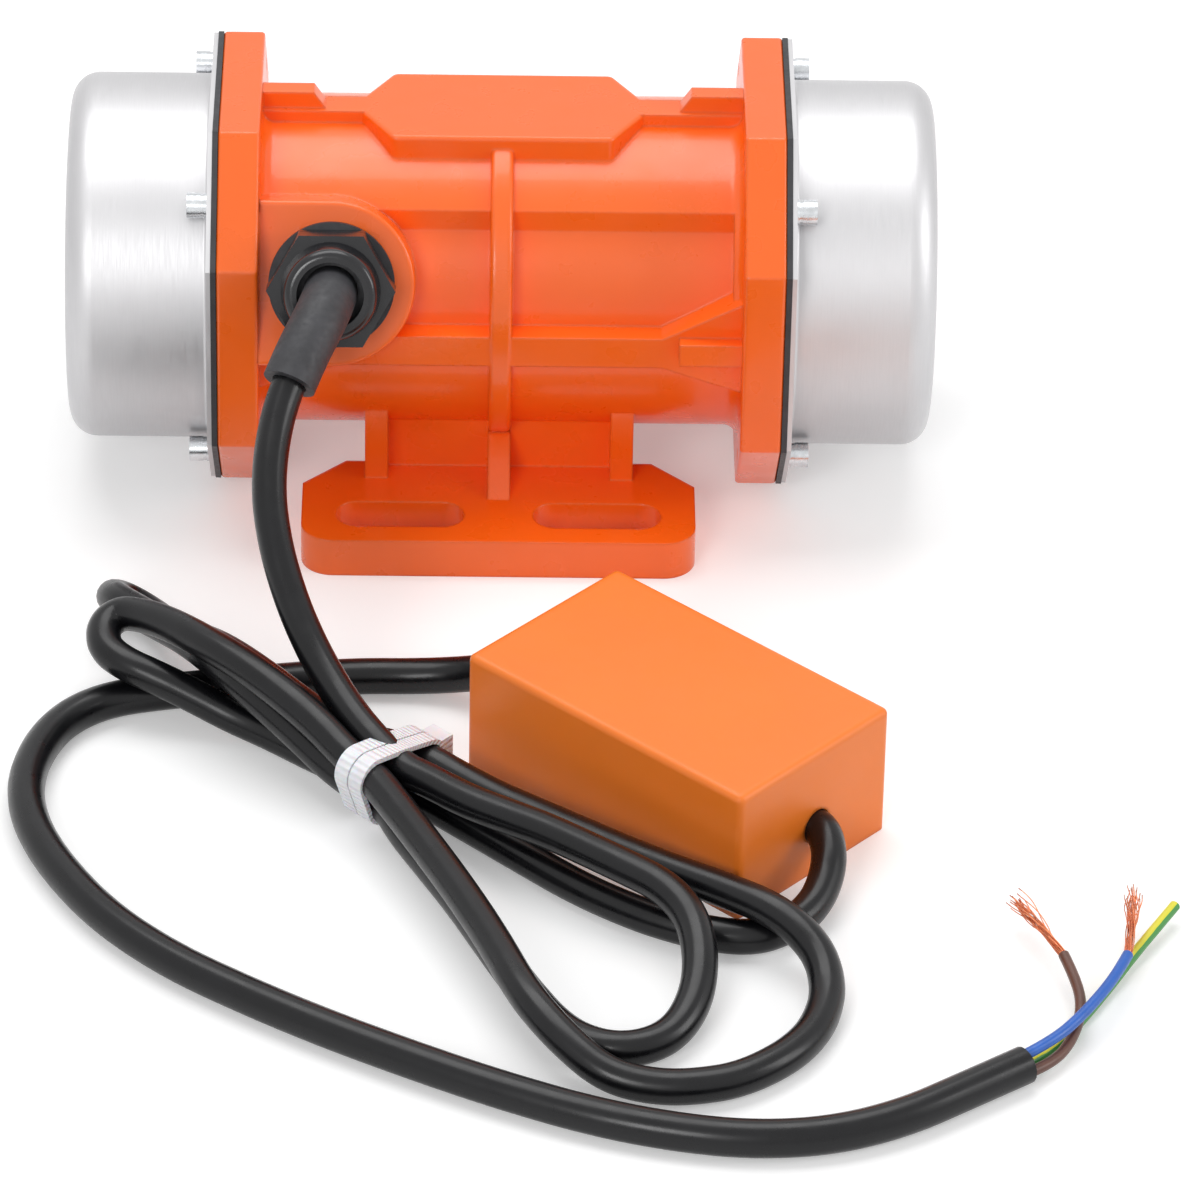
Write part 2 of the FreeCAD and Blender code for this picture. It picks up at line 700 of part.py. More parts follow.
    boss = tilted_sketch()
    draw_circle(boss, size.boss_radius)
    pad(body, boss, size.boss_face)
    bridge = tilted_sketch()
    draw_outline(
        bridge,
        rectangle(-inner_x - size.gland_x, 0.0, -size.boss_radius, size.boss_radius),
    )
    pad(body, bridge, size.boss_face)
    tilt = math.radians(float(size.gland_tilt))
    boss_axis = V(0, -math.cos(tilt), math.sin(tilt))

    def boss_rim(edge):
        reach = [vertex.Point.dot(boss_axis) for vertex in edge.Vertexes]
        on_face = all(abs(depth - float(size.boss_face)) < 1e-4 for depth in reach)
        return on_face and edge.BoundBox.Center.x > 1e-3 - float(inner_x)

    round_edges(body, size.boss_edge_radius, boss_rim)

    # machining: bore, shield seats, gland thread, screw holes
    pocket_circle(
        body, "YZ_Plane", -size.flange_outer_x, size.bore_radius, 2 * size.flange_outer_x
    )
    entry = tilted_sketch()
    draw_circle(entry, size.gland_thread_radius)
    pocket(body, entry, size.boss_face)
    for _, side in SIDES:
        start, depth = low_high(side, size.shield_plate_start_x, size.flange_outer_x)
        seat = size.shield_plate_radius + size.spigot_gap
        pocket_circle(body, "YZ_Plane", start, seat, depth)
        start, depth = low_high(side, inner_x, size.flange_outer_x)
        ring = new_sketch(body, "YZ_Plane", start)
        reach = size.screw_circle_radius / math.sqrt(2)
        for y_sign in (-1, 1):
            for z_sign in (-1, 1):
                draw_circle(
                    ring, size.screw_radius + size.thread_gap, y_sign * reach, z_sign * reach
                )
        pocket(body, ring, depth)
        tip = size.shield_plate_start_x + size.shield_plate_thickness - size.screw_length
        start, depth = low_high(side, tip, size.shield_plate_start_x)
        ring = new_sketch(body, "YZ_Plane", start)
        reach = size.shield_screw_circle_radius
        for across, up in ((reach, 0.0), (-reach, 0.0), (0.0, reach), (0.0, -reach)):
            draw_circle(ring, size.screw_radius + size.thread_gap, across, up)
        pocket(body, ring, depth)
    return body


# --------------------------------------------------------------------------- stator and rotor

def slot_outline(trim):
    """Stator slot that opens to the rotor, shrunk by trim for what lies in it."""
    mouth = size.slot_mouth / 2 - trim
    top = size.slot_top_width / 2 - trim
    bottom = size.slot_root_width / 2 - trim
    shoulder = size.stator_bore_radius + size.slot_neck
    return (
        (-mouth, shoulder - size.slot_neck / 2),
        (mouth, shoulder - size.slot_neck / 2),
        (mouth, shoulder + trim),
        (top, shoulder + size.slot_neck / 2 + trim),
        (bottom, size.slot_root_radius - trim),
        (-bottom, size.slot_root_radius - trim),
        (-top, shoulder + size.slot_neck / 2 + trim),
        (-mouth, shoulder + trim),
    )


def make_stator():
    half = size.core_half_length
    core = start_motor_body("stator_core")
    inner, outer = size.stator_bore_radius, size.bore_radius - size.seat_gap
    revolve(core, rectangle(-half, half, inner, outer))
    corners = list(slot_outline(0.0))
    inside = size.stator_bore_radius - size.slot_neck
    corners[0] = (corners[0][0], inside)
    corners[1] = (corners[1][0], inside)
    opening = pocket_outline(core, "YZ_Plane", -half, corners, 2 * half)
    around_shaft(core, opening, size.slot_count)

    windings = start_motor_body("stator_windings")
    reach = half + size.winding_overhang
    bar = pad_outline(windings, "YZ_Plane", -half - 1, slot_outline(size.slot_liner), 2 * half + 2)
    around_shaft(windings, bar, size.slot_count)
    low, high = size.winding_inner_radius, size.winding_outer_radius
    bevel = (high - low) / 4
    for _, side in SIDES:
        start = half + 0.6
        revolve(
            windings,
            (
                (side * start, low),
                (side * start, size.slot_root_radius),
                (side * (start + bevel * 2), high),
                (side * (reach - bevel), high),
                (side * reach, high - bevel),
                (side * reach, low + bevel),
                (side * (reach - bevel), low),
            ),
        )


def make_rotor_pack():
    half = size.core_half_length
    core = start_motor_body("rotor_core")
    outside = size.stator_bore_radius - size.air_gap
    bore = size.rotor_seat_radius + size.seat_gap
    revolve(core, rectangle(-half, half, bore, outside))
    rings = start_motor_body("rotor_end_rings")
    for _, side in SIDES:
        revolve(
            rings,
            (
                (side * half, size.cage_ring_inner_radius),
                (side * (half + size.cage_ring_length), size.cage_ring_inner_radius + 1),
                (side * (half + size.cage_ring_length), outside - 1),
                (side * half, outside - 0.5),
            ),
        )


# --------------------------------------------------------------------------- shields, bearings

def make_end_shield(name, side):
    """End shield with a spigot in the bore, a webbed hub and an open bearing seat."""
    body = start_motor_body(f"{name}_end_shield")
    plate_end = size.shield_plate_start_x + size.shield_plate_thickness
    spigot = size.bore_radius - size.spigot_gap
    seat = size.bearing_outer_radius + size.seat_gap
    lip_start = size.bearing_start_x - size.shield_lip_thickness
    profile = (
        (lip_start, size.shield_lip_radius),
        (lip_start, size.shield_hub_radius),
        (size.shield_web_start_x, size.shield_hub_radius),
        (size.shield_web_start_x, spigot - size.shield_rim_thickness),
        (size.shield_spigot_start_x, spigot - size.shield_rim_thickness),
        (size.shield_spigot_start_x, spigot),
        (size.shield_plate_start_x, spigot),
        (size.shield_plate_start_x, size.shield_plate_radius),
        (plate_end, size.shield_plate_radius),
        (plate_end, seat),
        (size.bearing_start_x, seat),
        (size.bearing_start_x, size.shield_lip_radius),
    )
    revolve(body, [(side * x, radius) for x, radius in profile])
    start, depth = low_high(side, size.shield_plate_start_x, plate_end)
    hole = pocket_circle(
        body, "YZ_Plane", start, size.screw_radius + size.hole_gap, depth,
        up=size.shield_screw_circle_radius,
    )
    around_shaft(body, hole, 4)


def make_bearing(name, side):
    """Deep groove ball bearing in four pieces."""
    near = size.bearing_start_x
    far = near + size.bearing_width
    middle = side * (near + far) / 2
    track = size.ball_radius + size.ball_gap

    def groove(body):
        sketch = new_sketch(body, "XZ_Plane")
        draw_circle(sketch, track, middle, size.ball_pitch_radius)
        doc.recompute()
        before = body.Shape.Volume
        feature = body.newObject("PartDesign::Groove", "Groove")
        feature.Profile = sketch
        feature.ReferenceAxis = (origin_feature(body, "X_Axis"), [""])
        feature.Angle = 360
        body.Tip = feature
        doc.recompute()
        if not body.Shape.Volume < before:
            raise RuntimeError(f"{body.Label}: the ball track removed nothing")

    outer = start_motor_body(f"{name}_bearing_outer_ring")
    revolve(
        outer,
        rectangle(side * near, side * far, size.outer_land_radius, size.bearing_outer_radius),
    )
    groove(outer)
    inner = start_motor_body(f"{name}_bearing_inner_ring")
    bore = size.bearing_bore_radius + size.seat_gap
    revolve(inner, rectangle(side * near, side * far, bore, size.inner_land_radius))
    groove(inner)

    balls = start_motor_body(f"{name}_bearing_balls")
    ball = balls.newObject("PartDesign::AdditiveSphere", "Ball")
    place_sphere(ball, balls, size.ball_radius, middle)
    around_shaft(balls, ball, size.ball_count)

    cage = start_motor_body(f"{name}_bearing_cage")
    low = size.ball_pitch_radius - size.cage_half_thickness
    high = size.ball_pitch_radius + size.cage_half_thickness
    width = size.cage_half_width
    revolve(cage, rectangle(middle - width, middle + width, low, high))
    doc.recompute()
    window = cage.newObject("PartDesign::SubtractiveSphere", "Window")
    place_sphere(window, cage, track, middle)
    around_shaft(cage, window, size.ball_count)


def place_sphere(ball, body, radius, x):
    """Centre a sphere of a body on the ball circle."""
    ball.AttachmentSupport = [(origin_feature(body, "XY_Plane"), "")]
    ball.MapMode = "FlatFace"
    bind(ball, "Radius", radius)
    bind(ball, "AttachmentOffset.Base.x", x)
    bind(ball, "AttachmentOffset.Base.z", size.ball_pitch_radius)
    body.Tip = ball


# --------------------------------------------------------------------------- shaft and weights

def make_shaft():
    """Double-ended shaft with bearing seats, circlip grooves and keyways."""
    body = start_motor_body("shaft")
    half = size.core_half_length
    bearing_end = size.bearing_start_x + size.bearing_width
    clip = size.circlip_thickness
    outer_clip = weight_end() + size.clip_gap
    journal, end = size.bearing_bore_radius, size.shaft_end_radius
    groove = size.circlip_depth
    arm = (
        (half, size.rotor_seat_radius),
        (half, size.shaft_middle_radius),
        (size.bearing_start_x, size.shaft_middle_radius),
        (size.bearing_start_x, journal),
        (bearing_end, journal),
        (bearing_end, journal - groove),
        (bearing_end + clip, journal - groove),
        (bearing_end + clip, journal),
        (bearing_end + clip + size.circlip_land, journal),
        (bearing_end + clip + size.circlip_land, end),
        (outer_clip, end),
        (outer_clip, end - groove),
        (outer_clip + clip, end - groove),
        (outer_clip + clip, end),
        (size.shaft_end_x - 1, end),
        (size.shaft_end_x, end - 1),
    )
    corners = [(size.shaft_end_x, 0.0), (-size.shaft_end_x, 0.0)]
    corners += [(-x, radius) for x, radius in reversed(arm)]
    corners += list(arm)
    revolve(body, corners)
    for _, side in SIDES:
        start, depth = low_high(side, size.weight_start_x, key_end())
        half_width = size.key_half_width
        keyway = rectangle(-half_width, half_width, size.key_bottom, size.shaft_end_radius + 1)
        pocket_outline(body, "YZ_Plane", start, keyway, depth)


def key_end():
    """Outer end of the keys, flush with the fixed weights."""
    return size.weight_start_x + size.weight_thickness


def weight_end():
    """Outer face of the adjustable weights."""
    return size.weight_start_x + 2 * size.weight_thickness + size.weight_gap


def make_keys():
    body = start_motor_body("weight_keys")
    half = size.key_half_width - size.seat_gap
    for _, side in SIDES:
        start, depth = low_high(side, size.weight_start_x, key_end())
        block = rectangle(-half, half, size.key_bottom + size.seat_gap, size.key_top)
        pad_outline(body, "YZ_Plane", start, block, depth)


def make_circlips():
    """Open rings in the shaft's grooves, one pair at the bearings and one at the ends."""
    rows = (
        ("bearing_circlips", size.bearing_start_x + size.bearing_width, size.bearing_bore_radius),
        ("shaft_end_circlips", weight_end() + size.clip_gap, size.shaft_end_radius),
    )
    for name, near, radius in rows:
        body = start_motor_body(name)
        low = radius - size.circlip_depth + size.seat_gap
        high = low + size.circlip_band
        far = near + size.circlip_thickness
        for _, side in SIDES:
            revolve(body, rectangle(side * near, side * far, low, high))
        mouth = size.circlip_mouth / 2
        opening = rectangle(-mouth, mouth, 0.0, high + 1)
        pocket_outline(body, "YZ_Plane", -far - 1, opening, 2 * far + 2)


def make_weight_blank(name, start):
    """Sector weight with a round hub, hanging below the shaft."""
    body = start_motor_body(name)
    thickness = size.weight_thickness
    reach = size.weight_radius
    pad_circle(body, "YZ_Plane", start, reach, thickness)
    above = rectangle(-reach - 1, reach + 1, -size.weight_chord, reach + 1)
    pocket_outline(body, "YZ_Plane", start, above, thickness)
    pad_circle(body, "YZ_Plane", start, size.weight_hub_radius, thickness)
    return body


def make_weights(name, side):
    """Keyed fixed weight and clamped adjustable weight at one end of the shaft."""
    thickness = size.weight_thickness
    bore = size.shaft_end_radius + size.weight_bore_gap

    start, _ = low_high(side, size.weight_start_x, key_end())
    fixed = make_weight_blank(f"{name}_fixed_weight", start)
    pocket_circle(fixed, "YZ_Plane", start, bore, thickness)
    half = size.key_half_width
    keyway = rectangle(-half, half, 0.0, size.key_top + size.seat_gap)
    pocket_outline(fixed, "YZ_Plane", start, keyway, thickness)

    start, _ = low_high(side, key_end() + size.weight_gap, weight_end())
    loose = make_weight_blank(f"{name}_adjustable_weight", start)
    ear = size.ear_half_width
    pad_outline(loose, "YZ_Plane", start, rectangle(-ear, ear, 0.0, size.ear_top), thickness)
    pocket_circle(loose, "YZ_Plane", start, bore, thickness)
    slit = size.clamp_slit / 2
    pocket_outline(
        loose, "YZ_Plane", start, rectangle(-slit, slit, 0.0, size.ear_top + 1), thickness
    )
    middle = start + thickness / 2
    pocket_circle(
        loose, "XZ_Plane", -ear, size.clamp_bolt_radius + size.spigot_gap, 2 * ear,
        middle, size.clamp_bolt_height,
    )


def make_clamp_bolt(name, side):
    """Socket bolt and nut that close the adjustable weight's ears."""
    body = start_motor_body(f"{name}_clamp_bolt")
    near = key_end() + size.weight_gap
    middle = side * (near + size.weight_thickness / 2)
    ear = size.ear_half_width
    shank, head = size.clamp_bolt_radius, size.clamp_bolt_radius * 1.75
    height = size.clamp_bolt_height
    rows = ((-ear - 2 * shank, head, 2 * shank), (-ear, shank, 2 * ear), (ear, head, 1.6 * shank))
    for lift, radius, length in rows:
        sketch = new_sketch(body, "XZ_Plane", lift)
        draw_circle(sketch, radius, middle, height)
        pad(body, sketch, length)


# --------------------------------------------------------------------------- covers and screws

def make_cover(name, side):
    """Drawn sheet cover with an octagonal rim, and its gasket."""
    rim_start = size.flange_outer_x + size.gasket_thickness
    rim_end = rim_start + size.cover_wall
    inner = size.cover_radius - size.cover_wall
    reach = size.screw_circle_radius / math.sqrt(2)
    signs = (-1, 1)

    def screw_holes(body, start, depth):
        ring = new_sketch(body, "YZ_Plane", start)
        for y_sign in signs:
            for z_sign in signs:
                hole = size.screw_radius + size.hole_gap
                draw_circle(ring, hole, y_sign * reach, z_sign * reach)
        pocket(body, ring, depth)

    gasket = start_motor_body(f"{name}_cover_gasket")
    start, depth = low_high(side, size.flange_outer_x, rim_start)
    outline = octagon(size.flange_across, size.flange_chamfer)
    pad_outline(gasket, "YZ_Plane", start, outline, depth)
    pocket_circle(gasket, "YZ_Plane", start, inner, depth)
    screw_holes(gasket, start, depth)

    cover = start_motor_body(f"{name}_cover")
    start, depth = low_high(side, rim_start, rim_end)
    outline = octagon(size.flange_across - 2 * size.cover_rim_inset, size.flange_chamfer)
    pad_outline(cover, "YZ_Plane", start, outline, depth)
    start, depth = low_high(side, rim_start, size.cover_end_x)
    pad_circle(cover, "YZ_Plane", start, size.cover_radius, depth)
    start, depth = low_high(side, rim_start, size.cover_end_x - size.cover_wall)
    pocket_circle(cover, "YZ_Plane", start, inner, depth)
    closed_x = size.cover_end_x - size.cover_wall
    rows = (
        (size.cover_corner_radius - size.cover_wall, inner, closed_x),
        (size.cover_corner_radius, size.cover_radius, size.cover_end_x),
        (size.cover_root_radius, size.cover_radius, rim_end),
    )
    for rounding, radius, x in rows:
        round_edges(cover, rounding, lambda edge: is_circle(edge, radius, side * x))
    start, depth = low_high(side, rim_start, rim_end)
    screw_holes(cover, start, depth)


def socket_screw_at(body, side, head_x, length, across, up):
    """One socket screw parallel to the shaft."""
    top = head_x + size.screw_head_height
    rows = (
        (head_x, top, size.screw_head_radius),
        (head_x - length, head_x, size.screw_radius),
    )
    for near, far, radius in rows:
        start, depth = low_high(side, near, far)
        sketch = new_sketch(body, "YZ_Plane", start)
        draw_circle(sketch, radius, across, up)
        pad(body, sketch, depth)
    start, depth = low_high(side, top - size.screw_socket_depth, top)
    sketch = new_sketch(body, "YZ_Plane", start)
    corner = size.screw_socket_radius
    outline = hexagon(corner * math.sqrt(3))
    draw_outline(sketch, [(across + y, up + z) for y, z in outline])
    pocket(body, sketch, depth)


def make_screws():
    """Cover screws with their washers, and the shield screws behind the covers."""
    corner = size.screw_circle_radius / math.sqrt(2)
    cover_spots = [(y * corner, z * corner) for y in (-1, 1) for z in (-1, 1)]
    reach = size.shield_screw_circle_radius
    shield_spots = [(reach, 0.0), (-reach, 0.0), (0.0, reach), (0.0, -reach)]
    rim = size.flange_outer_x + size.gasket_thickness + size.cover_wall
    flat_top = rim + size.washer_thickness
    spring_top = flat_top + size.spring_washer_thickness
    plate = size.shield_plate_start_x + size.shield_plate_thickness

    rows = (
        ("cover_screws", cover_spots, spring_top),
        ("shield_screws", shield_spots, plate),
    )
    for name, spots, seat in rows:
        body = start_motor_body(name)
        for _, side in SIDES:
            for across, up in spots:
                socket_screw_at(body, side, seat, size.screw_length, across, up)

    hole = size.screw_radius + size.hole_gap
    rows = (
        ("cover_flat_washers", rim, flat_top, size.washer_radius),
        ("cover_spring_washers", flat_top, spring_top, size.spring_washer_radius),
    )
    for name, near, far, radius in rows:
        body = start_motor_body(name)
        for _, side in SIDES:
            start, depth = low_high(side, near, far)
            rings = new_sketch(body, "YZ_Plane", start)
            for across, up in cover_spots:
                draw_circle(rings, radius, across, up)
                draw_circle(rings, hole, across, up)
            pad(body, rings, depth)


# --------------------------------------------------------------------------- cable gland

def start_gland_body(name):
    """A body whose own +Z is the gland axis, measured from the shaft axis."""
    body = start_motor_body(name)
    turn = FreeCAD.Rotation(X_DIR, 90 - float(size.gland_tilt))
    body.Placement = FreeCAD.Placement(V(float(size.gland_x), 0, float(size.shaft_height)), turn)
    bind(body, "Placement.Base.x", size.gland_x)
    bind(body, "Placement.Rotation.Angle", 90 - size.gland_tilt)
    return body


def make_gland():
    washer_top = size.boss_face + size.gland_washer_thickness
    hex_top = washer_top + size.gland_hex_height
    neck_top = hex_top + size.gland_neck_length
    seal_seat = hex_top - 1.0

    washer = start_gland_body("gland_sealing_washer")
    revolve(
        washer,
        rectangle(size.gland_thread_radius, size.gland_washer_radius, size.boss_face, washer_top),
        axis="Z_Axis",
    )

    lower = start_gland_body("gland_body")
    stub = size.boss_face - size.gland_stub_length
    stub_radius = size.gland_thread_radius - size.thread_gap
    pad_circle(lower, "XY_Plane", stub, stub_radius, washer_top - stub)
    outline = hexagon(size.gland_across_flats)
    pad_outline(lower, "XY_Plane", washer_top, outline, size.gland_hex_height)
    pad_circle(lower, "XY_Plane", hex_top, size.gland_neck_radius, size.gland_neck_length)
    pocket_circle(lower, "XY_Plane", stub, size.gland_passage_radius, neck_top - stub)
    pocket_circle(lower, "XY_Plane", seal_seat, size.gland_seal_radius, neck_top - seal_seat)

    seal = start_gland_body("gland_seal")
    seal_radius = size.gland_seal_radius - size.spigot_gap
    seal_bore = size.sleeve_radius + size.spigot_gap
    seal_top = seal_seat + size.gland_seal_length
    revolve(seal, rectangle(seal_bore, seal_radius, seal_seat, seal_top), axis="Z_Axis")

    nut = start_gland_body("gland_dome_nut")
    nut_start = hex_top + size.gland_nut_gap
    dome_start = nut_start + size.gland_nut_hex_height
    dome_end = dome_start + size.gland_dome_height
    pad_outline(nut, "XY_Plane", nut_start, outline, size.gland_nut_hex_height)
    dome = pad_circle(
        nut, "XY_Plane", dome_start, size.gland_dome_radius, size.gland_dome_height
    )
    bind(dome, "TaperAngle", -size.gland_dome_taper)
    doc.recompute()

    def mouth_edge(edge):
        at_top = abs(edge.BoundBox.Center.z - float(dome_end)) < 1e-3
        return at_top and isinstance(edge.Curve, Part.Circle)

    round_edges(nut, size.gland_dome_rounding, mouth_edge)
    cavity = size.gland_neck_radius + size.spigot_gap
    pocket_circle(nut, "XY_Plane", nut_start, size.gland_mouth_radius, dome_end - nut_start)
    pocket_circle(nut, "XY_Plane", nut_start, cavity, neck_top + 0.5 - nut_start)


# --------------------------------------------------------------------------- control box

def start_box_body(name):
    """A body in the control box's own frame: +X along its length, floor at z = 0."""
    body = start_body(name)
    turn = FreeCAD.Rotation(Z_DIR, float(size.box_turn))
    body.Placement = FreeCAD.Placement(V(float(size.box_x), float(size.box_y), 0), turn)
    bind(body, "Placement.Base.x", size.box_x)
    bind(body, "Placement.Base.y", size.box_y)
    bind(body, "Placement.Rotation.Angle", size.box_turn)
    return body


def box_point(along, across, height):
    """A point of the control box's frame in the model's frame."""
    centre = V(float(size.box_x), float(size.box_y), 0)
    turn = FreeCAD.Rotation(Z_DIR, float(size.box_turn))
    return centre + turn.multVec(V(float(along), float(across), float(height)))


MOTOR_LEAD_OFFSET = 1.0


def centred(length, width, along=0.0, across=0.0):
    """Corners of a rectangle about a centre."""
    return rectangle(
        along - length / 2, along + length / 2, across - width / 2, across + width / 2
    )


def make_control_box():
    """Moulded shell, base plate and what is screwed and clamped between them."""
    wall, plate = size.box_wall, size.box_plate_thickness
    inside_length = size.box_length - 2 * wall
    inside_width = size.box_width - 2 * wall
    pillar_x = inside_length / 2 - size.box_pillar_radius
    pillar_y = inside_width / 2 - size.box_pillar_radius
    pillars = [(x * pillar_x, y * pillar_y) for x in (-1, 1) for y in (-1, 1)]
    head_depth = size.box_head_depth
    entries = (
        (-1, size.supply_radius + size.lead_gap, 0.0),
        (1, size.lead_radius + size.lead_gap, MOTOR_LEAD_OFFSET),
    )

    def pillar_circles(body, start, radius):
        sketch = new_sketch(body, "XY_Plane", start)
        for across, up in pillars:
            draw_circle(sketch, radius, across, up)
        return sketch

    shell = start_box_body("control_box_shell")
    pad_outline(
        shell, "XY_Plane", 0.0, centred(size.box_length, size.box_width), size.box_height
    )
    round_edges(
        shell, size.box_corner_radius,
        lambda edge: edge.BoundBox.ZMin > 1.0 or edge.BoundBox.ZLength > 1.0,
    )
    cavity = centred(inside_length, inside_width)
    pocket_outline(shell, "XY_Plane", 0.0, cavity, size.box_height - wall)
    posts = pillar_circles(shell, plate, size.box_pillar_radius)
    pad(shell, posts, size.box_height - wall - plate)
    holes = pillar_circles(shell, plate, size.screw_radius + size.thread_gap)
    pocket(shell, holes, size.box_screw_length)
    for end, radius, across in entries:
        start, depth = low_high(end, size.box_length / 2 - wall, size.box_length / 2)
        pocket_circle(shell, "YZ_Plane", start, radius, depth, across, size.box_hole_height)

    base = start_box_body("control_box_base")
    trim = 2 * size.box_plate_gap
    pad_outline(base, "XY_Plane", 0.0, centred(inside_length - trim, inside_width - trim), plate)
    pocket(base, pillar_circles(base, 0.0, size.screw_radius + size.hole_gap), plate)
    pocket(base, pillar_circles(base, 0.0, size.screw_head_radius + size.hole_gap), head_depth)

    screws = start_box_body("box_screws")
    sink = size.box_head_sink
    pad(screws, pillar_circles(screws, sink, size.screw_head_radius), head_depth - sink)
    shanks = pillar_circles(screws, head_depth, size.screw_radius)
    shank = plate - head_depth + size.box_screw_length - size.box_screw_room
    pad(screws, shanks, shank)

    capacitor = start_box_body("run_capacitor")
    block = centred(size.capacitor_length, size.capacitor_width, -size.capacitor_offset)
    pad_outline(capacitor, "XY_Plane", plate, block, size.capacitor_height)
    round_edges(
        capacitor, size.capacitor_corner_radius, lambda edge: edge.BoundBox.ZLength > 1.0
    )

    terminals = start_box_body("terminal_block")
    block = centred(size.terminal_length, size.terminal_width, size.terminal_offset)
    pad_outline(terminals, "XY_Plane", plate, block, size.terminal_height)
    well_floor = plate + size.terminal_height - size.terminal_well_depth
    wells = new_sketch(terminals, "XY_Plane", well_floor)
    for row in (-1, 1):
        along = size.terminal_offset + row * size.terminal_row_gap / 2
        for place in (-1.5, -0.5, 0.5, 1.5):
            draw_circle(wells, size.terminal_well_radius, along, place * size.terminal_pitch)
    pocket(terminals, wells, size.terminal_well_depth)

    clamps = start_box_body("lead_clamps")
    for end, radius, across in entries:
        near = size.box_length / 2 - wall - size.clamp_length - size.clamp_gap
        start, depth = low_high(end, near, near + size.clamp_length)
        block = rectangle(
            across - size.clamp_width / 2, across + size.clamp_width / 2,
            plate, size.box_hole_height + size.clamp_rise,
        )
        pad_outline(clamps, "YZ_Plane", start, block, depth)
        pocket_circle(clamps, "YZ_Plane", start, radius, depth, across, size.box_hole_height)


# --------------------------------------------------------------------------- leads

def add_piece(name, shape):
    """A piece built directly from a shape."""
    piece = doc.addObject("Part::Feature", name)
    piece.Label = name
    piece.Shape = shape
    pieces.append(piece)
    return piece


def corner_arc(before, corner, after):
    """Arc that rounds a corner, tangent to both runs, and its radius."""
    back, ahead = before - corner, after - corner
    reach = 0.45 * min(back.Length, ahead.Length)
    half_turn = (math.pi - back.getAngle(ahead)) / 2
    radius = reach / math.tan(half_turn)
    back.normalize()
    ahead.normalize()
    inward = back + ahead
    inward.normalize()
    middle = corner + inward * (radius / math.cos(half_turn) - radius)
    return Part.Arc(corner + back * reach, middle, corner + ahead * reach).toShape(), radius


def join(arcs, first, last):
    """Straight runs from first to last, through the arcs in order."""
    edges = []
    here = first
    for arc in arcs:
        start, end = arc.Vertexes[0].Point, arc.Vertexes[-1].Point
        edges.append(Part.LineSegment(here, start).toShape())
        edges.append(arc)
        here = end
    edges.append(Part.LineSegment(here, last).toShape())
    return edges


def route_edges(points):
    """Straight runs joined by tangent arcs along a hand-chosen list of points."""
    arcs = [corner_arc(*points[n - 1 : n + 2])[0] for n in range(1, len(points) - 1)]
    return join(arcs, points[0], points[-1])


def print_route(name, points):
    """State a lead's length and every bend radius."""
    length = sum(edge.Length for edge in route_edges(points))
    bends = [corner_arc(*points[n - 1 : n + 2])[1] for n in range(1, len(points) - 1)]
    listed = " ".join(f"{radius:.1f}" for radius in bends)
    print(f"{name}: length {length:.1f}, bend radii {listed}")


def closed_wire(corners, height):
    """Rounded closed outline in a level plane."""
    points = [V(x, y, float(height)) for x, y in corners]
    count = len(points)
    arcs = []
    for n in range(count):
        arc, _ = corner_arc(points[n - 1], points[n], points[(n + 1) % count])
        arcs.append(arc)
    first = arcs[0].Vertexes[-1].Point
    edges = join(arcs[1:], first, arcs[0].Vertexes[0].Point)
    return Part.Wire(edges + [arcs[0]])


def tube(edges, radius):
    """Round bar along a route."""
    start = edges[0].Vertexes[0].Point
    along = edges[0].Vertexes[-1].Point - start
    profile = Part.Wire(Part.makeCircle(float(radius), start, along))
    bar = Part.Wire(edges).makePipeShell([profile], True, False)
    length = sum(edge.Length for edge in edges)
    expected = math.pi * float(radius) ** 2 * length
    if abs(bar.Volume / expected - 1) > 0.01:
        raise RuntimeError(f"a tube's volume is {bar.Volume:.0f}, expected {expected:.0f}")
    return bar


def gland_point(distance):
    """A point of the gland axis at a distance from the shaft axis."""
    tilt = math.radians(float(size.gland_tilt))
    reach = V(0, -math.cos(tilt), math.sin(tilt)) * distance
    return V(float(size.gland_x), 0, float(size.shaft_height)) + reach


MOTOR_LEAD = [gland_point(47.0), gland_point(56.6)] + [
    V(*point)
    for point in (
        (-38.3, -59.6, 69.2),
        (-42.0, -67.4, 65.2),
        (-47.0, -77.6, 57.2),
        (-49.0, -91.0, 47.8),
        (-47.2, -102.0, 38.8),
        (-43.6, -111.5, 29.0),
        (-37.5, -120.5, 19.8),
        (-30.4, -127.4, 13.8),
        (-23.2, -133.6, 10.6),
    )
]
SLEEVE_EDGES = 7
CHANNEL_EDGES = 5

LEAD_TO_BOX = [
    V(47.5, -191.2, 3.8),
    V(56.6, -190.4, 3.8),
    V(65.2, -184.4, 4.6),
    V(70.2, -177.4, 7.4),
    box_point(46.6, MOTOR_LEAD_OFFSET, 11.5),
    box_point(32.0, MOTOR_LEAD_OFFSET, 11.5),
]

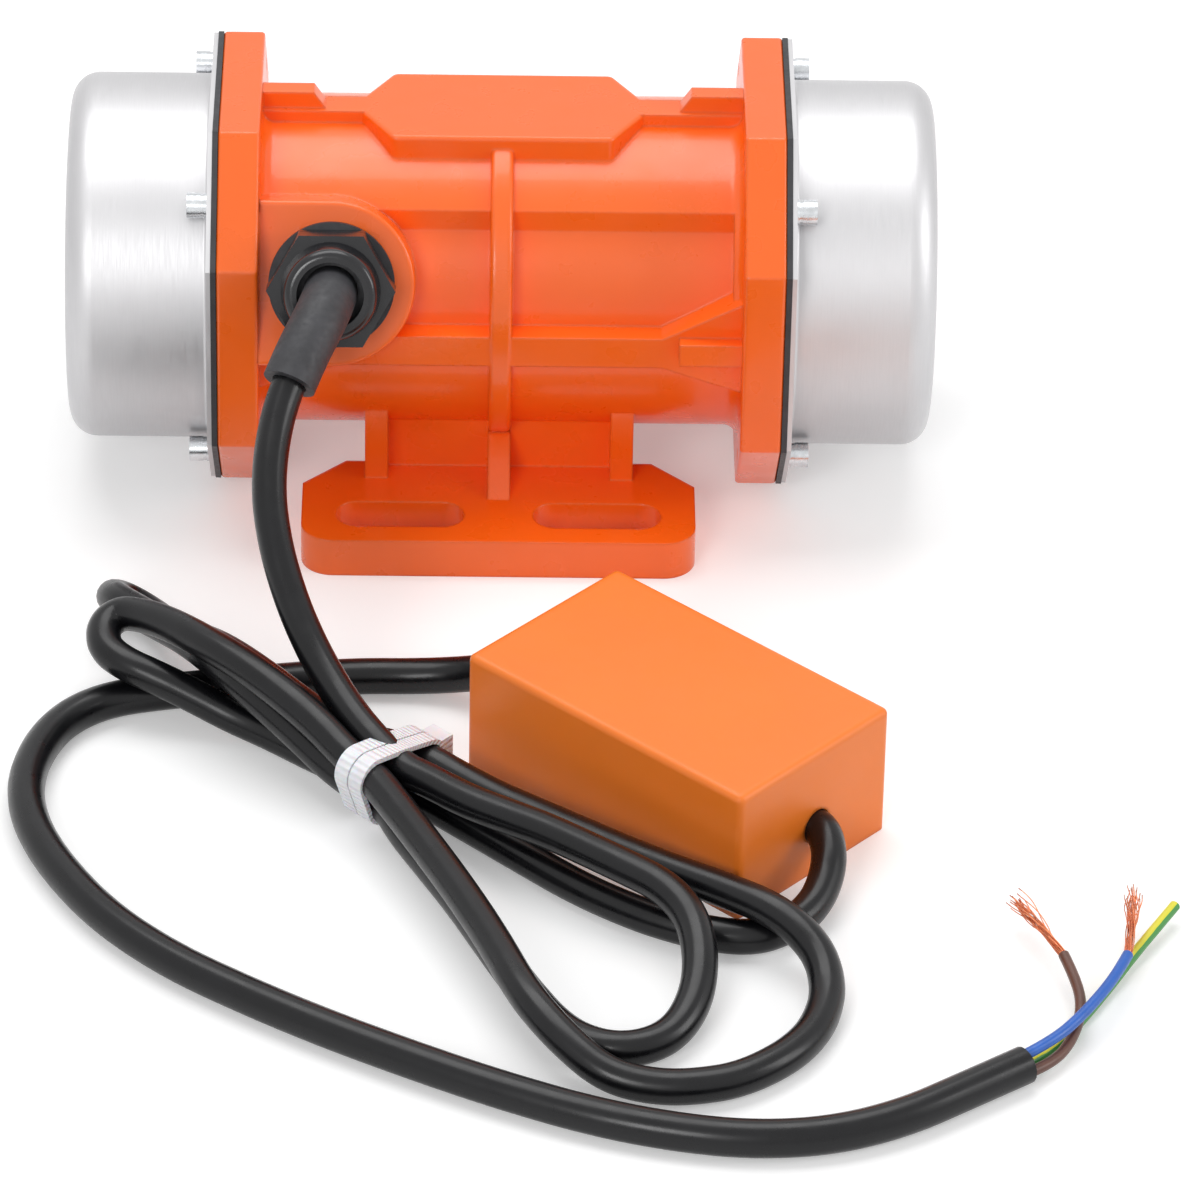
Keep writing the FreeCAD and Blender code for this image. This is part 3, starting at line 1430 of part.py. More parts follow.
SUPPLY_LEAD = [box_point(-32.0, 0.0, 11.5), box_point(-46.2, 0.0, 11.5)] + [
    V(*point)
    for point in (
        (-4.5, -101.5, 6.6),
        (-16.0, -98.8, 3.9),
        (-32.0, -98.9, 3.9),
        (-52.5, -102.3, 3.9),
        (-70.0, -105.4, 3.9),
        (-83.0, -108.9, 3.9),
        (-91.8, -117.0, 3.9),
        (-96.6, -128.5, 3.9),
        (-98.4, -141.5, 3.9),
        (-96.4, -155.0, 3.9),
        (-90.5, -169.8, 3.9),
        (-80.0, -187.2, 3.9),
        (-66.0, -202.1, 3.9),
        (-51.0, -213.4, 3.9),
        (-36.0, -223.6, 3.9),
        (-18.5, -234.1, 3.9),
        (1.0, -244.8, 3.9),
        (20.5, -253.7, 3.9),
        (38.0, -258.6, 3.9),
        (52.5, -260.2, 3.9),
        (67.0, -258.4, 3.9),
        (81.0, -252.4, 3.9),
        (94.0, -243.0, 3.9),
        (105.3, -234.8, 3.9),
    )
]

BLUE_CORE = [
    V(105.1, -234.0, 5.6),
    V(111.2, -229.6, 6.2),
    V(117.0, -222.6, 6.9),
    V(121.8, -215.2, 7.6),
    V(125.2, -208.8, 7.9),
    V(127.6, -202.8, 8.0),
]
BROWN_CORE = [
    V(106.6, -236.1, 3.2),
    V(111.4, -232.0, 2.6),
    V(115.3, -225.6, 3.3),
    V(117.7, -217.4, 4.7),
    V(117.2, -208.8, 5.4),
    V(114.9, -200.3, 6.0),
]
EARTH_CORE = [
    V(104.8, -233.5, 2.5),
    V(110.4, -228.6, 1.8),
    V(117.0, -217.6, 1.4),
    V(123.6, -206.0, 1.7),
    V(129.4, -195.6, 2.6),
    V(134.4, -187.4, 3.4),
    V(138.9, -180.0, 4.0),
]
BLUE_COPPER = [V(127.7, -202.5, 8.0), V(129.3, -191.6, 8.1), V(130.1, -180.2, 8.0)]
BROWN_COPPER = [V(114.8, -200.0, 6.0), V(110.6, -190.4, 6.1), V(105.4, -180.3, 6.0)]


def make_leads():
    """Leads, cores and the sleeve at the gland."""
    sleeve = route_edges(MOTOR_LEAD)[:SLEEVE_EDGES]
    bore = tube(sleeve, size.lead_radius + size.lead_gap)
    add_piece("strain_relief_sleeve", tube(sleeve, size.sleeve_radius).cut(bore))
    rows = (
        ("motor_lead", MOTOR_LEAD, size.lead_radius),
        ("lead_to_box", LEAD_TO_BOX, size.lead_radius),
        ("supply_lead", SUPPLY_LEAD, size.supply_radius),
        ("blue_core", BLUE_CORE, size.core_radius),
        ("brown_core", BROWN_CORE, size.core_radius),
        ("earth_core", EARTH_CORE, size.core_radius),
        ("blue_copper_strands", BLUE_COPPER, size.strand_radius),
        ("brown_copper_strands", BROWN_COPPER, size.strand_radius),
    )
    for name, points, radius in rows:
        print_route(name, points)
        add_piece(name, tube(route_edges(points), radius))


# --------------------------------------------------------------------------- hank and tie

RIGHT_LOBE = (
    (-19.0, -129.5), (-3.0, -142.0), (16.0, -157.5), (34.0, -174.0), (50.0, -185.5),
    (62.0, -189.0), (69.5, -199.0), (71.0, -212.0), (66.5, -228.5), (52.5, -242.5),
    (35.0, -247.3), (20.0, -244.0), (8.5, -233.0), (-2.0, -211.0), (-13.5, -183.0),
    (-23.0, -165.0), (-30.5, -154.0), (-36.5, -147.0), (-28.0, -137.0),
)
RIGHT_LOBE_HOLES = (
    (
        (3.0, -173.5), (17.0, -184.5), (29.0, -194.0), (36.0, -200.5), (34.5, -211.0),
        (26.0, -223.0), (15.0, -212.0), (4.0, -191.0),
    ),
    (
        (48.5, -199.5), (57.0, -199.5), (61.5, -207.0), (61.0, -217.0), (55.5, -227.5),
        (45.0, -235.0), (35.0, -237.5), (41.0, -226.5), (46.0, -214.0),
    ),
)
LEFT_LOBE = (
    (-11.0, -134.0), (-36.0, -108.0), (-56.0, -84.5), (-70.0, -69.5), (-79.0, -64.0),
    (-86.5, -68.0), (-89.5, -80.0), (-88.5, -92.5), (-79.5, -102.5), (-62.0, -115.5),
    (-43.0, -133.0), (-28.0, -150.0),
)

# the five strands inside the tie: place across the bundle and height
TIED_STRANDS = ((-7.7, 13.4), (-5.3, 6.5), (1.9, 5.1), (7.5, 10.7), (-0.3, 12.3))


def tie_frame(shape):
    """Move a shape made about the tie's own axes to the tie: +X along the bundle."""
    turn = FreeCAD.Rotation(Z_DIR, float(size.tie_turn))
    shape.Placement = FreeCAD.Placement(V(float(size.tie_x), float(size.tie_y), 0), turn)
    return shape


def belt(reach, start, length):
    """Bar along the tied bundle: the strands' places with their outline moved out by reach."""
    corners = [V(float(start), across, height) for across, height in TIED_STRANDS]
    core = Part.Face(Part.makePolygon(corners + corners[:1]))
    return core.makeOffset2D(float(reach)).extrude(V(float(length), 0, 0))


def extruded(corners, bottom, top):
    """Solid between two heights over a rounded outline."""
    face = Part.Face(closed_wire(corners, bottom))
    return face.extrude(V(0, 0, float(top - bottom)))


def make_hank_and_tie():
    """Tied loops of the motor lead as one closed solid, waisted for the doubled tie."""
    right = extruded(RIGHT_LOBE, 0.0, size.hank_height)
    for hole in RIGHT_LOBE_HOLES:
        right = right.cut(extruded(hole, -1.0, size.hank_height + 1))
    left = extruded(LEFT_LOBE, size.hank_lift, size.hank_loop_height)
    hank = right.fuse(left)

    step = size.tie_width + size.tie_turn_gap
    groove_length = step + size.tie_width + 2 * size.tie_gap
    groove_start = -groove_length / 2
    waist = belt(size.lead_radius, groove_start, groove_length)
    reach = size.lead_radius + size.hank_loop_height
    around = belt(reach, groove_start, groove_length)
    hank = hank.cut(tie_frame(around.cut(waist)))
    channel = size.lead_radius + size.lead_gap
    for edges in (route_edges(MOTOR_LEAD)[-CHANNEL_EDGES:], route_edges(LEAD_TO_BOX)):
        hank = hank.cut(tube(edges, channel))
    add_piece("lead_hank", hank.removeSplitter())

    inside = size.lead_radius + size.tie_gap
    outside = inside + size.tie_thickness
    turns = []
    for side in (-1, 1):
        start = side * step / 2 - size.tie_width / 2
        ring = belt(outside, start, size.tie_width)
        turns.append(ring.cut(belt(inside, start, size.tie_width)))
    across, height = max(TIED_STRANDS)
    head_corner = V(
        -float(size.tie_head_length) / 2,
        across + float(outside - size.tie_head_sink),
        height - float(size.tie_head_height) / 2,
    )
    head = Part.makeBox(
        float(size.tie_head_length),
        float(size.tie_head_depth),
        float(size.tie_head_height),
        head_corner,
    )
    tie = turns[0].fuse([turns[1], head]).removeSplitter()
    add_piece("cable_tie", tie_frame(tie))


# --------------------------------------------------------------------------- build and export

def check_and_export():
    """Refuse anything broken, then write one STEP file per piece."""
    doc.recompute()
    for entry in doc.Objects:
        if {"Invalid", "Error"} & set(entry.State):
            raise RuntimeError(f"{entry.Name} is in state {entry.State}")
    os.makedirs("parts", exist_ok=True)
    for piece in pieces:
        shape = piece.Shape
        if shape.isNull() or not shape.isValid() or not shape.Solids:
            raise RuntimeError(f"{piece.Label} is not a valid solid")
        shape.exportStep(f"parts/{piece.Label}.step")
        print(f"{piece.Label}: {len(shape.Solids)} solids, {shape.Volume:.0f} mm3")


make_casing()
make_stator()
make_rotor_pack()
for side_name, side_sign in SIDES:
    make_end_shield(side_name, side_sign)
    make_bearing(side_name, side_sign)
    make_weights(side_name, side_sign)
    make_clamp_bolt(side_name, side_sign)
    make_cover(side_name, side_sign)
make_shaft()
make_keys()
make_circlips()
make_screws()
make_gland()
make_control_box()
make_leads()
make_hank_and_tie()
check_and_export()
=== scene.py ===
"""Looks of the vibration motor: its camera, leads, materials, floor and light.

Lengths are in millimetres in the part's own frame (X right, Y away from the camera, Z up), and go to
metres where Blender takes them.
"""

import random
from math import pi, radians, sin, cos

import bmesh
import bpy
from mathutils import Matrix, Vector


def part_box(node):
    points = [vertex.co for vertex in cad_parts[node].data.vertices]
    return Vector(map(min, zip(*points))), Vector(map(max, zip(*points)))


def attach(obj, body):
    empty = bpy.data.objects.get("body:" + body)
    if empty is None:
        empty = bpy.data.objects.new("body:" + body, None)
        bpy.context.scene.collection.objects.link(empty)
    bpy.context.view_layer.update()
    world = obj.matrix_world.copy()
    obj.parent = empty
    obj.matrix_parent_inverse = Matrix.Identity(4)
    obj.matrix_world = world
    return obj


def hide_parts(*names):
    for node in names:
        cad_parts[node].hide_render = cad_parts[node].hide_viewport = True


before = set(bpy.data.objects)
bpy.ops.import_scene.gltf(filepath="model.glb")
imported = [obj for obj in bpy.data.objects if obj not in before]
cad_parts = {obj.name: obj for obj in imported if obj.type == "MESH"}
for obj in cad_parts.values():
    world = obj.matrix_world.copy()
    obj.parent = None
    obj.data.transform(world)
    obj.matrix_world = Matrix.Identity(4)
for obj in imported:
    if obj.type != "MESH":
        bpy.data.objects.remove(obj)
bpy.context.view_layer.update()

MM = 0.001
UPWARD = Vector((0, 0, 1))

# Camera: where it is and where it looks, with its lens and sensor
CAMERA_AT = (-5.9, -1511.2, 955.2)
CAMERA_AIM = (20.9, -60.6, 0.2)
CAMERA_ROLL = radians(1.2)
CAMERA_LENS = 242.4
SENSOR_WIDTH = 36

# Outside diameters of the leads and of their cores
MOTOR_LEAD_DIAMETER = 7.4
SUPPLY_LEAD_DIAMETER = 7.8
CORE_DIAMETER = 2.3

# The control box stands turned on the floor, and its leads enter its ends at one height
BOX_CENTRE = (37.2, -138.2)
BOX_ALONG = (0.732, -0.681)
BOX_ACROSS = (0.681, 0.732)
LEAD_HOLE_HEIGHT = 11.5


def box_point(along, across, height):
    """A point given along and across the control box."""
    return (
        BOX_CENTRE[0] + along * BOX_ALONG[0] + across * BOX_ACROSS[0],
        BOX_CENTRE[1] + along * BOX_ALONG[1] + across * BOX_ACROSS[1],
        height,
    )


# The motor's lead: down from its gland, through the tie, round four loops and into the control box
FROM_GLAND = [
    (-36.5, -43.4, 66.5), (-36.5, -52.3, 70.2), (-38.3, -59.6, 69.2), (-42, -67.4, 65.2),
    (-47, -77.6, 57.2), (-49, -91, 47.8), (-47.2, -101.5, 39), (-43.4, -110.8, 30.6),
    (-39, -119, 24.4), (-34, -127.4, 19.8), (-29.6, -134.4, 17),
]
NEAR_LOOP = [
    (-25.4, -139.8, 15), (-19.8, -146.2, 12.8), (-13.9, -150.8, 12.9), (-6.2, -158, 13), (2, -163.7, 13.3),
    (10.3, -169.5, 13.8), (18.4, -176.4, 14.2), (26.1, -182.9, 14.4), (34, -188.9, 14),
    (39.5, -196.8, 12.5), (41.4, -207.6, 10), (40.2, -217.6, 6.5), (35.7, -226, 4), (28.6, -230.6, 3.7),
    (20.8, -230.4, 3.7), (13.3, -225, 3.7), (5.7, -211, 3.7), (-0.4, -197, 3.7), (-6.6, -182.2, 3.7),
    (-12.8, -169.8, 4.1), (-19, -158.4, 5),
]
BACK_LOOP = [
    (-22.4, -150.4, 6.2), (-29.2, -143.8, 7), (-34.8, -139.2, 8.8), (-41.2, -132, 11.2),
    (-48, -124.6, 13.4), (-54.2, -117.7, 15), (-60.4, -109.2, 15.2), (-66, -100.8, 14.4),
    (-72.2, -93.4, 13.2), (-77.4, -87.6, 12.6), (-81.6, -82, 11.6), (-83, -75.8, 8.6), (-80, -72, 5.2),
    (-74.6, -75.4, 3.8), (-69.4, -84.2, 5.4), (-64, -93, 9), (-57.8, -101.2, 11.8),
    (-49.7, -110.4, 11.8), (-41.5, -119.8, 11), (-34, -127.8, 10.4), (-27.6, -132.6, 10),
]
WIDE_LOOP = [
    (-20.9, -134.8, 10.2), (-14.2, -140, 10.6), (-8.7, -144.1, 9.6), (-1, -150.1, 8.8), (7.5, -156.4, 8.8),
    (17.1, -163.9, 9.2), (28.3, -173, 9.8), (37.4, -179.7, 10.4), (46.5, -186, 11), (55.1, -191.9, 11.2),
    (61.4, -197.5, 9.8), (66.2, -204.2, 6.8), (67, -215, 4.2), (61.9, -228.9, 3.7), (49.9, -240, 3.7),
    (38.6, -243.2, 3.7), (29.7, -242.7, 3.7), (21.7, -240.3, 4.8), (15.2, -234.8, 7.3),
    (10, -228.8, 9.4), (5.2, -220.7, 10.8), (-1.2, -203, 11.4), (-8.4, -186, 11.9),
    (-15.6, -170.6, 12.4), (-21.6, -158.4, 13),
]
FRONT_LOOP = [
    (-26.2, -149.8, 13.6), (-31.2, -144.2, 14.6), (-37, -137.2, 17.2), (-45.4, -129.2, 20.3),
    (-54.1, -121, 22), (-62.7, -112.2, 21.8), (-70.2, -103.2, 20), (-76, -97.4, 18), (-80.4, -94.8, 16.6),
    (-83.8, -98, 15.2), (-83.2, -104.2, 13.9), (-78.8, -108.6, 13), (-72.6, -111.2, 11.6),
    (-65, -113.4, 8.8), (-56, -116.4, 5.2), (-47.4, -120.8, 3.8), (-38.4, -128.4, 3.7),
]
TO_BOX = [
    (-28.8, -136.4, 4), (-20.8, -141.9, 4.8), (-14.8, -145.2, 4.2), (-8.4, -151, 3.8), (-1.5, -157.6, 3.7),
    (6.7, -165.7, 3.7), (14.9, -173.7, 3.7), (23.1, -180.4, 3.7), (33.2, -187, 3.7), (44.4, -191.6, 3.7),
    (53.2, -192.3, 3.7), (60.2, -188, 3.9), (64.8, -182.2, 4.6), (67.4, -176.4, 6.6), (68.4, -170.8, 9.4),
    (67.4, -165.3, 11.2), box_point(37.5, 1, LEAD_HOLE_HEIGHT), box_point(32, 1, LEAD_HOLE_HEIGHT),
]
MOTOR_LEAD = FROM_GLAND + NEAR_LOOP + BACK_LOOP + WIDE_LOOP + FRONT_LOOP + TO_BOX

SUPPLY_LEAD = [
    box_point(-32, 0, LEAD_HOLE_HEIGHT), box_point(-46.2, 0, LEAD_HOLE_HEIGHT), (-4.5, -101.5, 6.6),
    (-16, -98.8, 3.9), (-32, -98.9, 3.9), (-52.5, -102.3, 3.9), (-70, -105.4, 3.9), (-83, -108.9, 3.9),
    (-91.8, -117, 3.9), (-96.6, -128.5, 3.9), (-98.4, -141.5, 3.9), (-96.4, -155, 3.9),
    (-90.5, -169.8, 3.9), (-80, -187.2, 3.9), (-66, -202.1, 3.9), (-51, -213.4, 3.9),
    (-36, -223.6, 3.9), (-18.5, -234.1, 3.9), (1, -244.8, 3.9), (20.5, -253.7, 3.9), (38, -258.6, 3.9),
    (52.5, -260.2, 3.9), (67, -258.4, 3.9), (81, -252.4, 3.9), (94, -243, 3.9), (105.3, -234.8, 3.9),
]
BLUE_CORE = [
    (105.1, -234, 5.6), (111.2, -229.6, 6.2), (117, -222.6, 6.9), (121.8, -215.2, 7.6),
    (125.2, -208.8, 7.9), (127.6, -202.8, 8),
]
BROWN_CORE = [
    (106.6, -236.1, 3.2), (111.4, -232, 2.6), (115.3, -225.6, 3.3), (117.7, -217.4, 4.7),
    (117.2, -208.8, 5.4), (114.9, -200.3, 6),
]
EARTH_CORE = [
    (104.8, -233.5, 2.5), (110.4, -228.6, 1.8), (117, -217.6, 1.4), (123.6, -206, 1.7),
    (129.4, -195.6, 2.6), (134.4, -187.4, 3.4), (138.9, -180, 4),
]
BLUE_COPPER = [(127.6, -203.2, 8), (129.3, -191.6, 8.1), (130.1, -180.2, 8)]
BROWN_COPPER = [(115, -200.6, 6), (110.6, -190.4, 6.1), (105.4, -180.3, 6)]

# How finely a lead is drawn: steps from one of its points to the next, and the roundness of its section
LEAD_STEPS = 10
LEAD_ROUNDNESS = 7

# Bare copper: fine wires that fan out from the end of a core, in steps of at least WIRE_STEP
WIRES = 26
WIRE_RADIUS = 0.11
WIRE_SIDES = 7
WIRE_STEP = 0.5

# The bundle that they make. Wires lie a golden angle apart. The shortest is a share of the bundle's length,
# the widest fan a number of times its radius, and the twist and the frizz's wave are radians from end to end
BUNDLE_RADIUS = 0.8
GOLDEN_ANGLE = pi * (3 - 5**0.5)
SHORTEST_WIRE = 0.86
WIDEST_FAN = 3.2
TWIST = 2.2
FRIZZ = 0.45
FRIZZ_ANGLE = 9

# The cable tie: how its strap is turned about Z, and the number of its teeth
TIE_TURN = radians(-44)
TIE_TEETH = 62

# The side of the earth core that its yellow band is on
BAND_SIDE = (-0.62, 0.36, 0.7)

# Thickness of one sheet in the stator's and rotor's stacks
LAMINATION = 0.5

# A noise texture keeps mostly between these values
NOISE_LOW = 0.3
NOISE_HIGH = 0.7


def millimetres(place):
    """A place in metres."""
    return Vector(place) * MM


# Materials


class Finish:
    """A procedural material: one Principled shader and the noise that varies it."""

    def __init__(self, name, roughness, metallic=0.0, **sockets):
        self.material = bpy.data.materials.new(name)
        self.material.use_nodes = True
        self.nodes = self.material.node_tree.nodes
        self.links = self.material.node_tree.links
        self.shader = self.nodes["Principled BSDF"]
        self.place = self.nodes.new("ShaderNodeTexCoord").outputs["Object"]
        self.shader.inputs["Roughness"].default_value = roughness
        self.shader.inputs["Metallic"].default_value = metallic
        for socket, value in sockets.items():
            self.shader.inputs[socket.replace("_", " ")].default_value = value

    def noise(self, size, detail=3.0, stretch=(1, 1, 1)):
        """Noise whose features are about size millimetres, closer together along an axis stretched more."""
        mapping = self.nodes.new("ShaderNodeMapping")
        mapping.inputs["Scale"].default_value = stretch
        texture = self.nodes.new("ShaderNodeTexNoise")
        texture.inputs["Scale"].default_value = 1 / (size * MM)
        texture.inputs["Detail"].default_value = detail
        self.links.new(self.place, mapping.inputs["Vector"])
        self.links.new(mapping.outputs["Vector"], texture.inputs["Vector"])
        return texture.outputs["Fac"]

    def colours(self, factor, dark, light, low=NOISE_LOW, high=NOISE_HIGH):
        """Colour the surface from dark to light as factor goes from low to high."""
        ramp = self.nodes.new("ShaderNodeValToRGB")
        ramp.color_ramp.elements[0].position = low
        ramp.color_ramp.elements[1].position = high
        ramp.color_ramp.elements[0].color = (*dark, 1)
        ramp.color_ramp.elements[1].color = (*light, 1)
        self.links.new(factor, ramp.inputs["Fac"])
        self.links.new(ramp.outputs["Color"], self.shader.inputs["Base Color"])

    def roughness(self, factor, smooth, rough):
        """Vary the roughness from smooth to rough."""
        spread = self.nodes.new("ShaderNodeMapRange")
        spread.inputs["From Min"].default_value = NOISE_LOW
        spread.inputs["From Max"].default_value = NOISE_HIGH
        spread.inputs["To Min"].default_value = smooth
        spread.inputs["To Max"].default_value = rough
        self.links.new(factor, spread.inputs["Value"])
        self.links.new(spread.outputs["Result"], self.shader.inputs["Roughness"])

    def bump(self, height, depth):
        """Raise the surface by height, depth millimetres at most, on top of any bump made before."""
        bump = self.nodes.new("ShaderNodeBump")
        bump.inputs["Distance"].default_value = depth * MM
        bump.inputs["Strength"].default_value = 1.0
        self.links.new(height, bump.inputs["Height"])
        earlier = self.shader.inputs["Normal"].links
        if earlier:
            self.links.new(earlier[0].from_socket, bump.inputs["Normal"])
        self.links.new(bump.outputs["Normal"], self.shader.inputs["Normal"])

    def round_edges(self, radius, samples=6):
        """Shade the edges as if they were rounded to this radius, under any bump made before."""
        edge = self.nodes.new("ShaderNodeBevel")
        edge.samples = samples
        edge.inputs["Radius"].default_value = radius * MM
        first = self.shader.inputs["Normal"].links[0].from_node
        while first.inputs["Normal"].links:
            first = first.inputs["Normal"].links[0].from_node
        self.links.new(edge.outputs["Normal"], first.inputs["Normal"])

    def maths(self, operation, *values):
        """One Math node: values are sockets or numbers."""
        node = self.nodes.new("ShaderNodeMath")
        node.operation = operation
        for socket, value in zip(node.inputs, values):
            if isinstance(value, (int, float)):
                socket.default_value = value
            else:
                self.links.new(value, socket)
        return node.outputs["Value"]


def shade(colour, amount):
    """The colour made lighter or darker by a share of itself."""
    return tuple(min(part * (1 + amount), 1) for part in colour)


def plain(name, colour, roughness, metallic=0.0, mottle=0.08, patch=9, grain=0.5, depth=0.012, **sockets):
    """A finish of one colour: patches that differ from it by mottle, and grain of a given depth.

    Patch and grain are the sizes of their features, and the roughness varies over smaller patches.
    """
    finish = Finish(name, roughness, metallic, **sockets)
    finish.colours(finish.noise(patch, detail=5), shade(colour, -mottle), shade(colour, mottle))
    finish.roughness(finish.noise(patch / 3, detail=4), smooth=0.82 * roughness, rough=1.2 * roughness)
    finish.bump(finish.noise(grain, detail=2), depth)
    return finish


def orange_paint():
    """Thick glossy enamel with a slight orange peel, pooled round over the casting's edges."""
    finish = plain("orange_paint", (0.96, 0.14, 0.006), 0.3, mottle=0.03, patch=26, grain=3.4, depth=0.02,
                   Coat_Weight=0.28, Coat_Roughness=0.08)
    finish.bump(finish.noise(14, detail=1), depth=0.12)
    finish.round_edges(radius=0.9)
    return finish.material


def cover_steel():
    """Drawn stainless steel, with fine lines left round it by polishing."""
    finish = Finish("cover_steel", 0.33, 1.0)
    finish.colours(finish.noise(30, detail=4), dark=(0.55, 0.545, 0.555), light=(0.6, 0.595, 0.605))
    lines = finish.noise(6, detail=4, stretch=(22, 1, 1))
    finish.roughness(lines, smooth=0.44, rough=0.54)
    finish.bump(lines, depth=0.012)
    finish.bump(finish.noise(18, detail=2), depth=0.02)
    return finish.material


def turned_steel(name, colour, roughness):
    """Steel with the fine rings that a lathe leaves round the motor's axis."""
    finish = Finish(name, roughness, 1.0)
    rings = finish.noise(3, detail=3, stretch=(16, 1, 1))
    finish.colours(finish.noise(8, detail=4), dark=shade(colour, -0.08), light=shade(colour, 0.08))
    finish.roughness(rings, smooth=0.8 * roughness, rough=1.25 * roughness)
    finish.bump(rings, depth=0.01)
    return finish.material


def zinc_steel():
    """Bright zinc plate, slightly cloudy."""
    return plain("zinc_steel", (0.66, 0.68, 0.7), 0.25, 1.0, mottle=0.14, patch=2.5, grain=0.25,
                 depth=0.008).material


def cast_weight():
    """Grey cast iron as it leaves the sand."""
    return plain("cast_weight", (0.2, 0.2, 0.2), 0.6, 0.75, mottle=0.2, patch=5, grain=0.8,
                 depth=0.08).material


def lamination():
    """Stacked electrical sheet, with a fine groove from each sheet to the next along the motor's axis."""
    finish = plain("lamination", (0.3, 0.29, 0.28), 0.42, 0.9, mottle=0.12, patch=6)
    across = finish.nodes.new("ShaderNodeSeparateXYZ")
    finish.links.new(finish.place, across.inputs["Vector"])
    turns = finish.maths("MULTIPLY", across.outputs["X"], 2 * pi / (LAMINATION * MM))
    finish.bump(finish.maths("SINE", turns), depth=0.03)
    return finish.material


def winding_copper():
    """Enamelled wire in tight turns."""
    finish = plain("winding_copper", (0.55, 0.18, 0.055), 0.32, 0.55, mottle=0.18, patch=3)
    wires = finish.noise(1.1, detail=2, stretch=(1, 6, 6))
    finish.bump(wires, depth=0.25)
    return finish.material


def bare_copper():
    """Bare drawn copper wire, slightly tarnished."""
    return plain("copper", (0.72, 0.25, 0.12), 0.28, 1.0, mottle=0.22, patch=3, grain=0.3,
                 depth=0.01).material


def jacket():
    """The leads' black jacket: smooth, with a slight waviness and faintly uneven colour."""
    finish = plain("black_jacket", (0.004, 0.004, 0.005), 0.3, mottle=0.22, patch=12, grain=1.2,
                   depth=0.012, Specular_IOR_Level=0.3, Coat_Weight=0.1, Coat_Roughness=0.14)
    finish.bump(finish.noise(16, detail=2), depth=0.1)
    return finish.material


def black_rubber():
    """Dull dark rubber with a fine powdery grain."""
    return plain("black_rubber", (0.03, 0.03, 0.034), 0.55, mottle=0.25, patch=4, grain=0.35,
                 depth=0.02).material


def black_nylon():
    """Glossy moulded nylon."""
    return plain("black_nylon", (0.012, 0.012, 0.014), 0.2, mottle=0.2, patch=7, grain=1.4,
                 depth=0.012).material


def orange_plastic():
    """Smooth moulded plastic, faintly translucent."""
    finish = plain("orange_plastic", (0.94, 0.215, 0.02), 0.36, mottle=0.03, patch=26, grain=0.45,
                   depth=0.01, Subsurface_Weight=0.06, Subsurface_Scale=0.002)
    finish.bump(finish.noise(18, detail=2), depth=0.08)
    finish.round_edges(radius=1.3)
    return finish.material


def earth_insulation():
    """Green insulation with a yellow band along it: the band is the side that faces up and left."""
    finish = Finish("earth_core", 0.36)
    side = finish.nodes.new("ShaderNodeVectorMath")
    side.operation = "DOT_PRODUCT"
    side.inputs[1].default_value = BAND_SIDE
    geometry = finish.nodes.new("ShaderNodeNewGeometry")
    finish.links.new(geometry.outputs["Normal"], side.inputs[0])
    edge = finish.maths("MULTIPLY_ADD", finish.noise(5, detail=2), 0.3, side.outputs["Value"])
    finish.colours(edge, dark=(0.06, 0.3, 0.06), light=(0.78, 0.72, 0.05), low=0.28, high=0.34)
    finish.bump(finish.noise(0.6, detail=2), depth=0.01)
    return finish.material


def tie_nylon():
    """Milky nylon with the strap's fine teeth, which run along the leads that it holds."""
    finish = plain("white_nylon", (0.88, 0.88, 0.92), 0.38, mottle=0.03, patch=3, grain=0.4, depth=0.02,
                   Subsurface_Weight=0.25, Subsurface_Scale=0.0012)
    low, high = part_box("cable_tie")
    middle = [(a + b) / 2 for a, b in zip(low, high)]
    turned = finish.nodes.new("ShaderNodeMapping")
    turned.vector_type = "TEXTURE"
    turned.inputs["Location"].default_value = middle
    turned.inputs["Rotation"].default_value = (0, 0, TIE_TURN)
    finish.links.new(finish.place, turned.inputs["Vector"])
    sides = finish.nodes.new("ShaderNodeSeparateXYZ")
    finish.links.new(turned.outputs["Vector"], sides.inputs["Vector"])
    angle = finish.maths("ARCTAN2", sides.outputs["Z"], sides.outputs["Y"])
    teeth = finish.maths("SINE", finish.maths("MULTIPLY", angle, TIE_TEETH))
    finish.bump(teeth, depth=0.09)
    return finish.material


def insulation(name, colour, roughness, mottle):
    """A core's coloured insulation."""
    return plain(name, colour, roughness, mottle=mottle, patch=6, depth=0.015).material


def aluminium():
    """Die-cast aluminium."""
    return plain("aluminium", (0.66, 0.67, 0.68), 0.42, 1.0, mottle=0.1, patch=5, depth=0.03).material


def grey_plastic():
    """The moulded plastic inside the control box."""
    return plain("grey_plastic", (0.62, 0.62, 0.59), 0.45, patch=6, depth=0.02).material


FINISHES = {
    "orange_paint": orange_paint(),
    "cover_steel": cover_steel(),
    "zinc_steel": zinc_steel(),
    "machined_steel": turned_steel("machined_steel", (0.56, 0.56, 0.57), 0.28),
    "bearing_steel": turned_steel("bearing_steel", (0.64, 0.64, 0.66), 0.14),
    "dark_steel": turned_steel("dark_steel", (0.2, 0.2, 0.21), 0.4),
    "cast_weight": cast_weight(),
    "aluminium": aluminium(),
    "lamination": lamination(),
    "copper": bare_copper(),
    "winding_copper": winding_copper(),
    "black_rubber": black_rubber(),
    "black_nylon": black_nylon(),
    "black_jacket": jacket(),
    "orange_plastic": orange_plastic(),
    "white_nylon": tie_nylon(),
    "grey_plastic": grey_plastic(),
    "blue_core": insulation("blue_core", (0.02, 0.12, 0.5), 0.34, mottle=0.12),
    "brown_core": insulation("brown_core", (0.12, 0.045, 0.028), 0.36, mottle=0.15),
    "earth_core": earth_insulation(),
}


def finish_cad_nodes():
    """Give each CAD node its slot's finish."""
    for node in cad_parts.values():
        for slot in node.material_slots:
            slot.material = FINISHES[slot.material.name.split(".")[0]]


# Leads


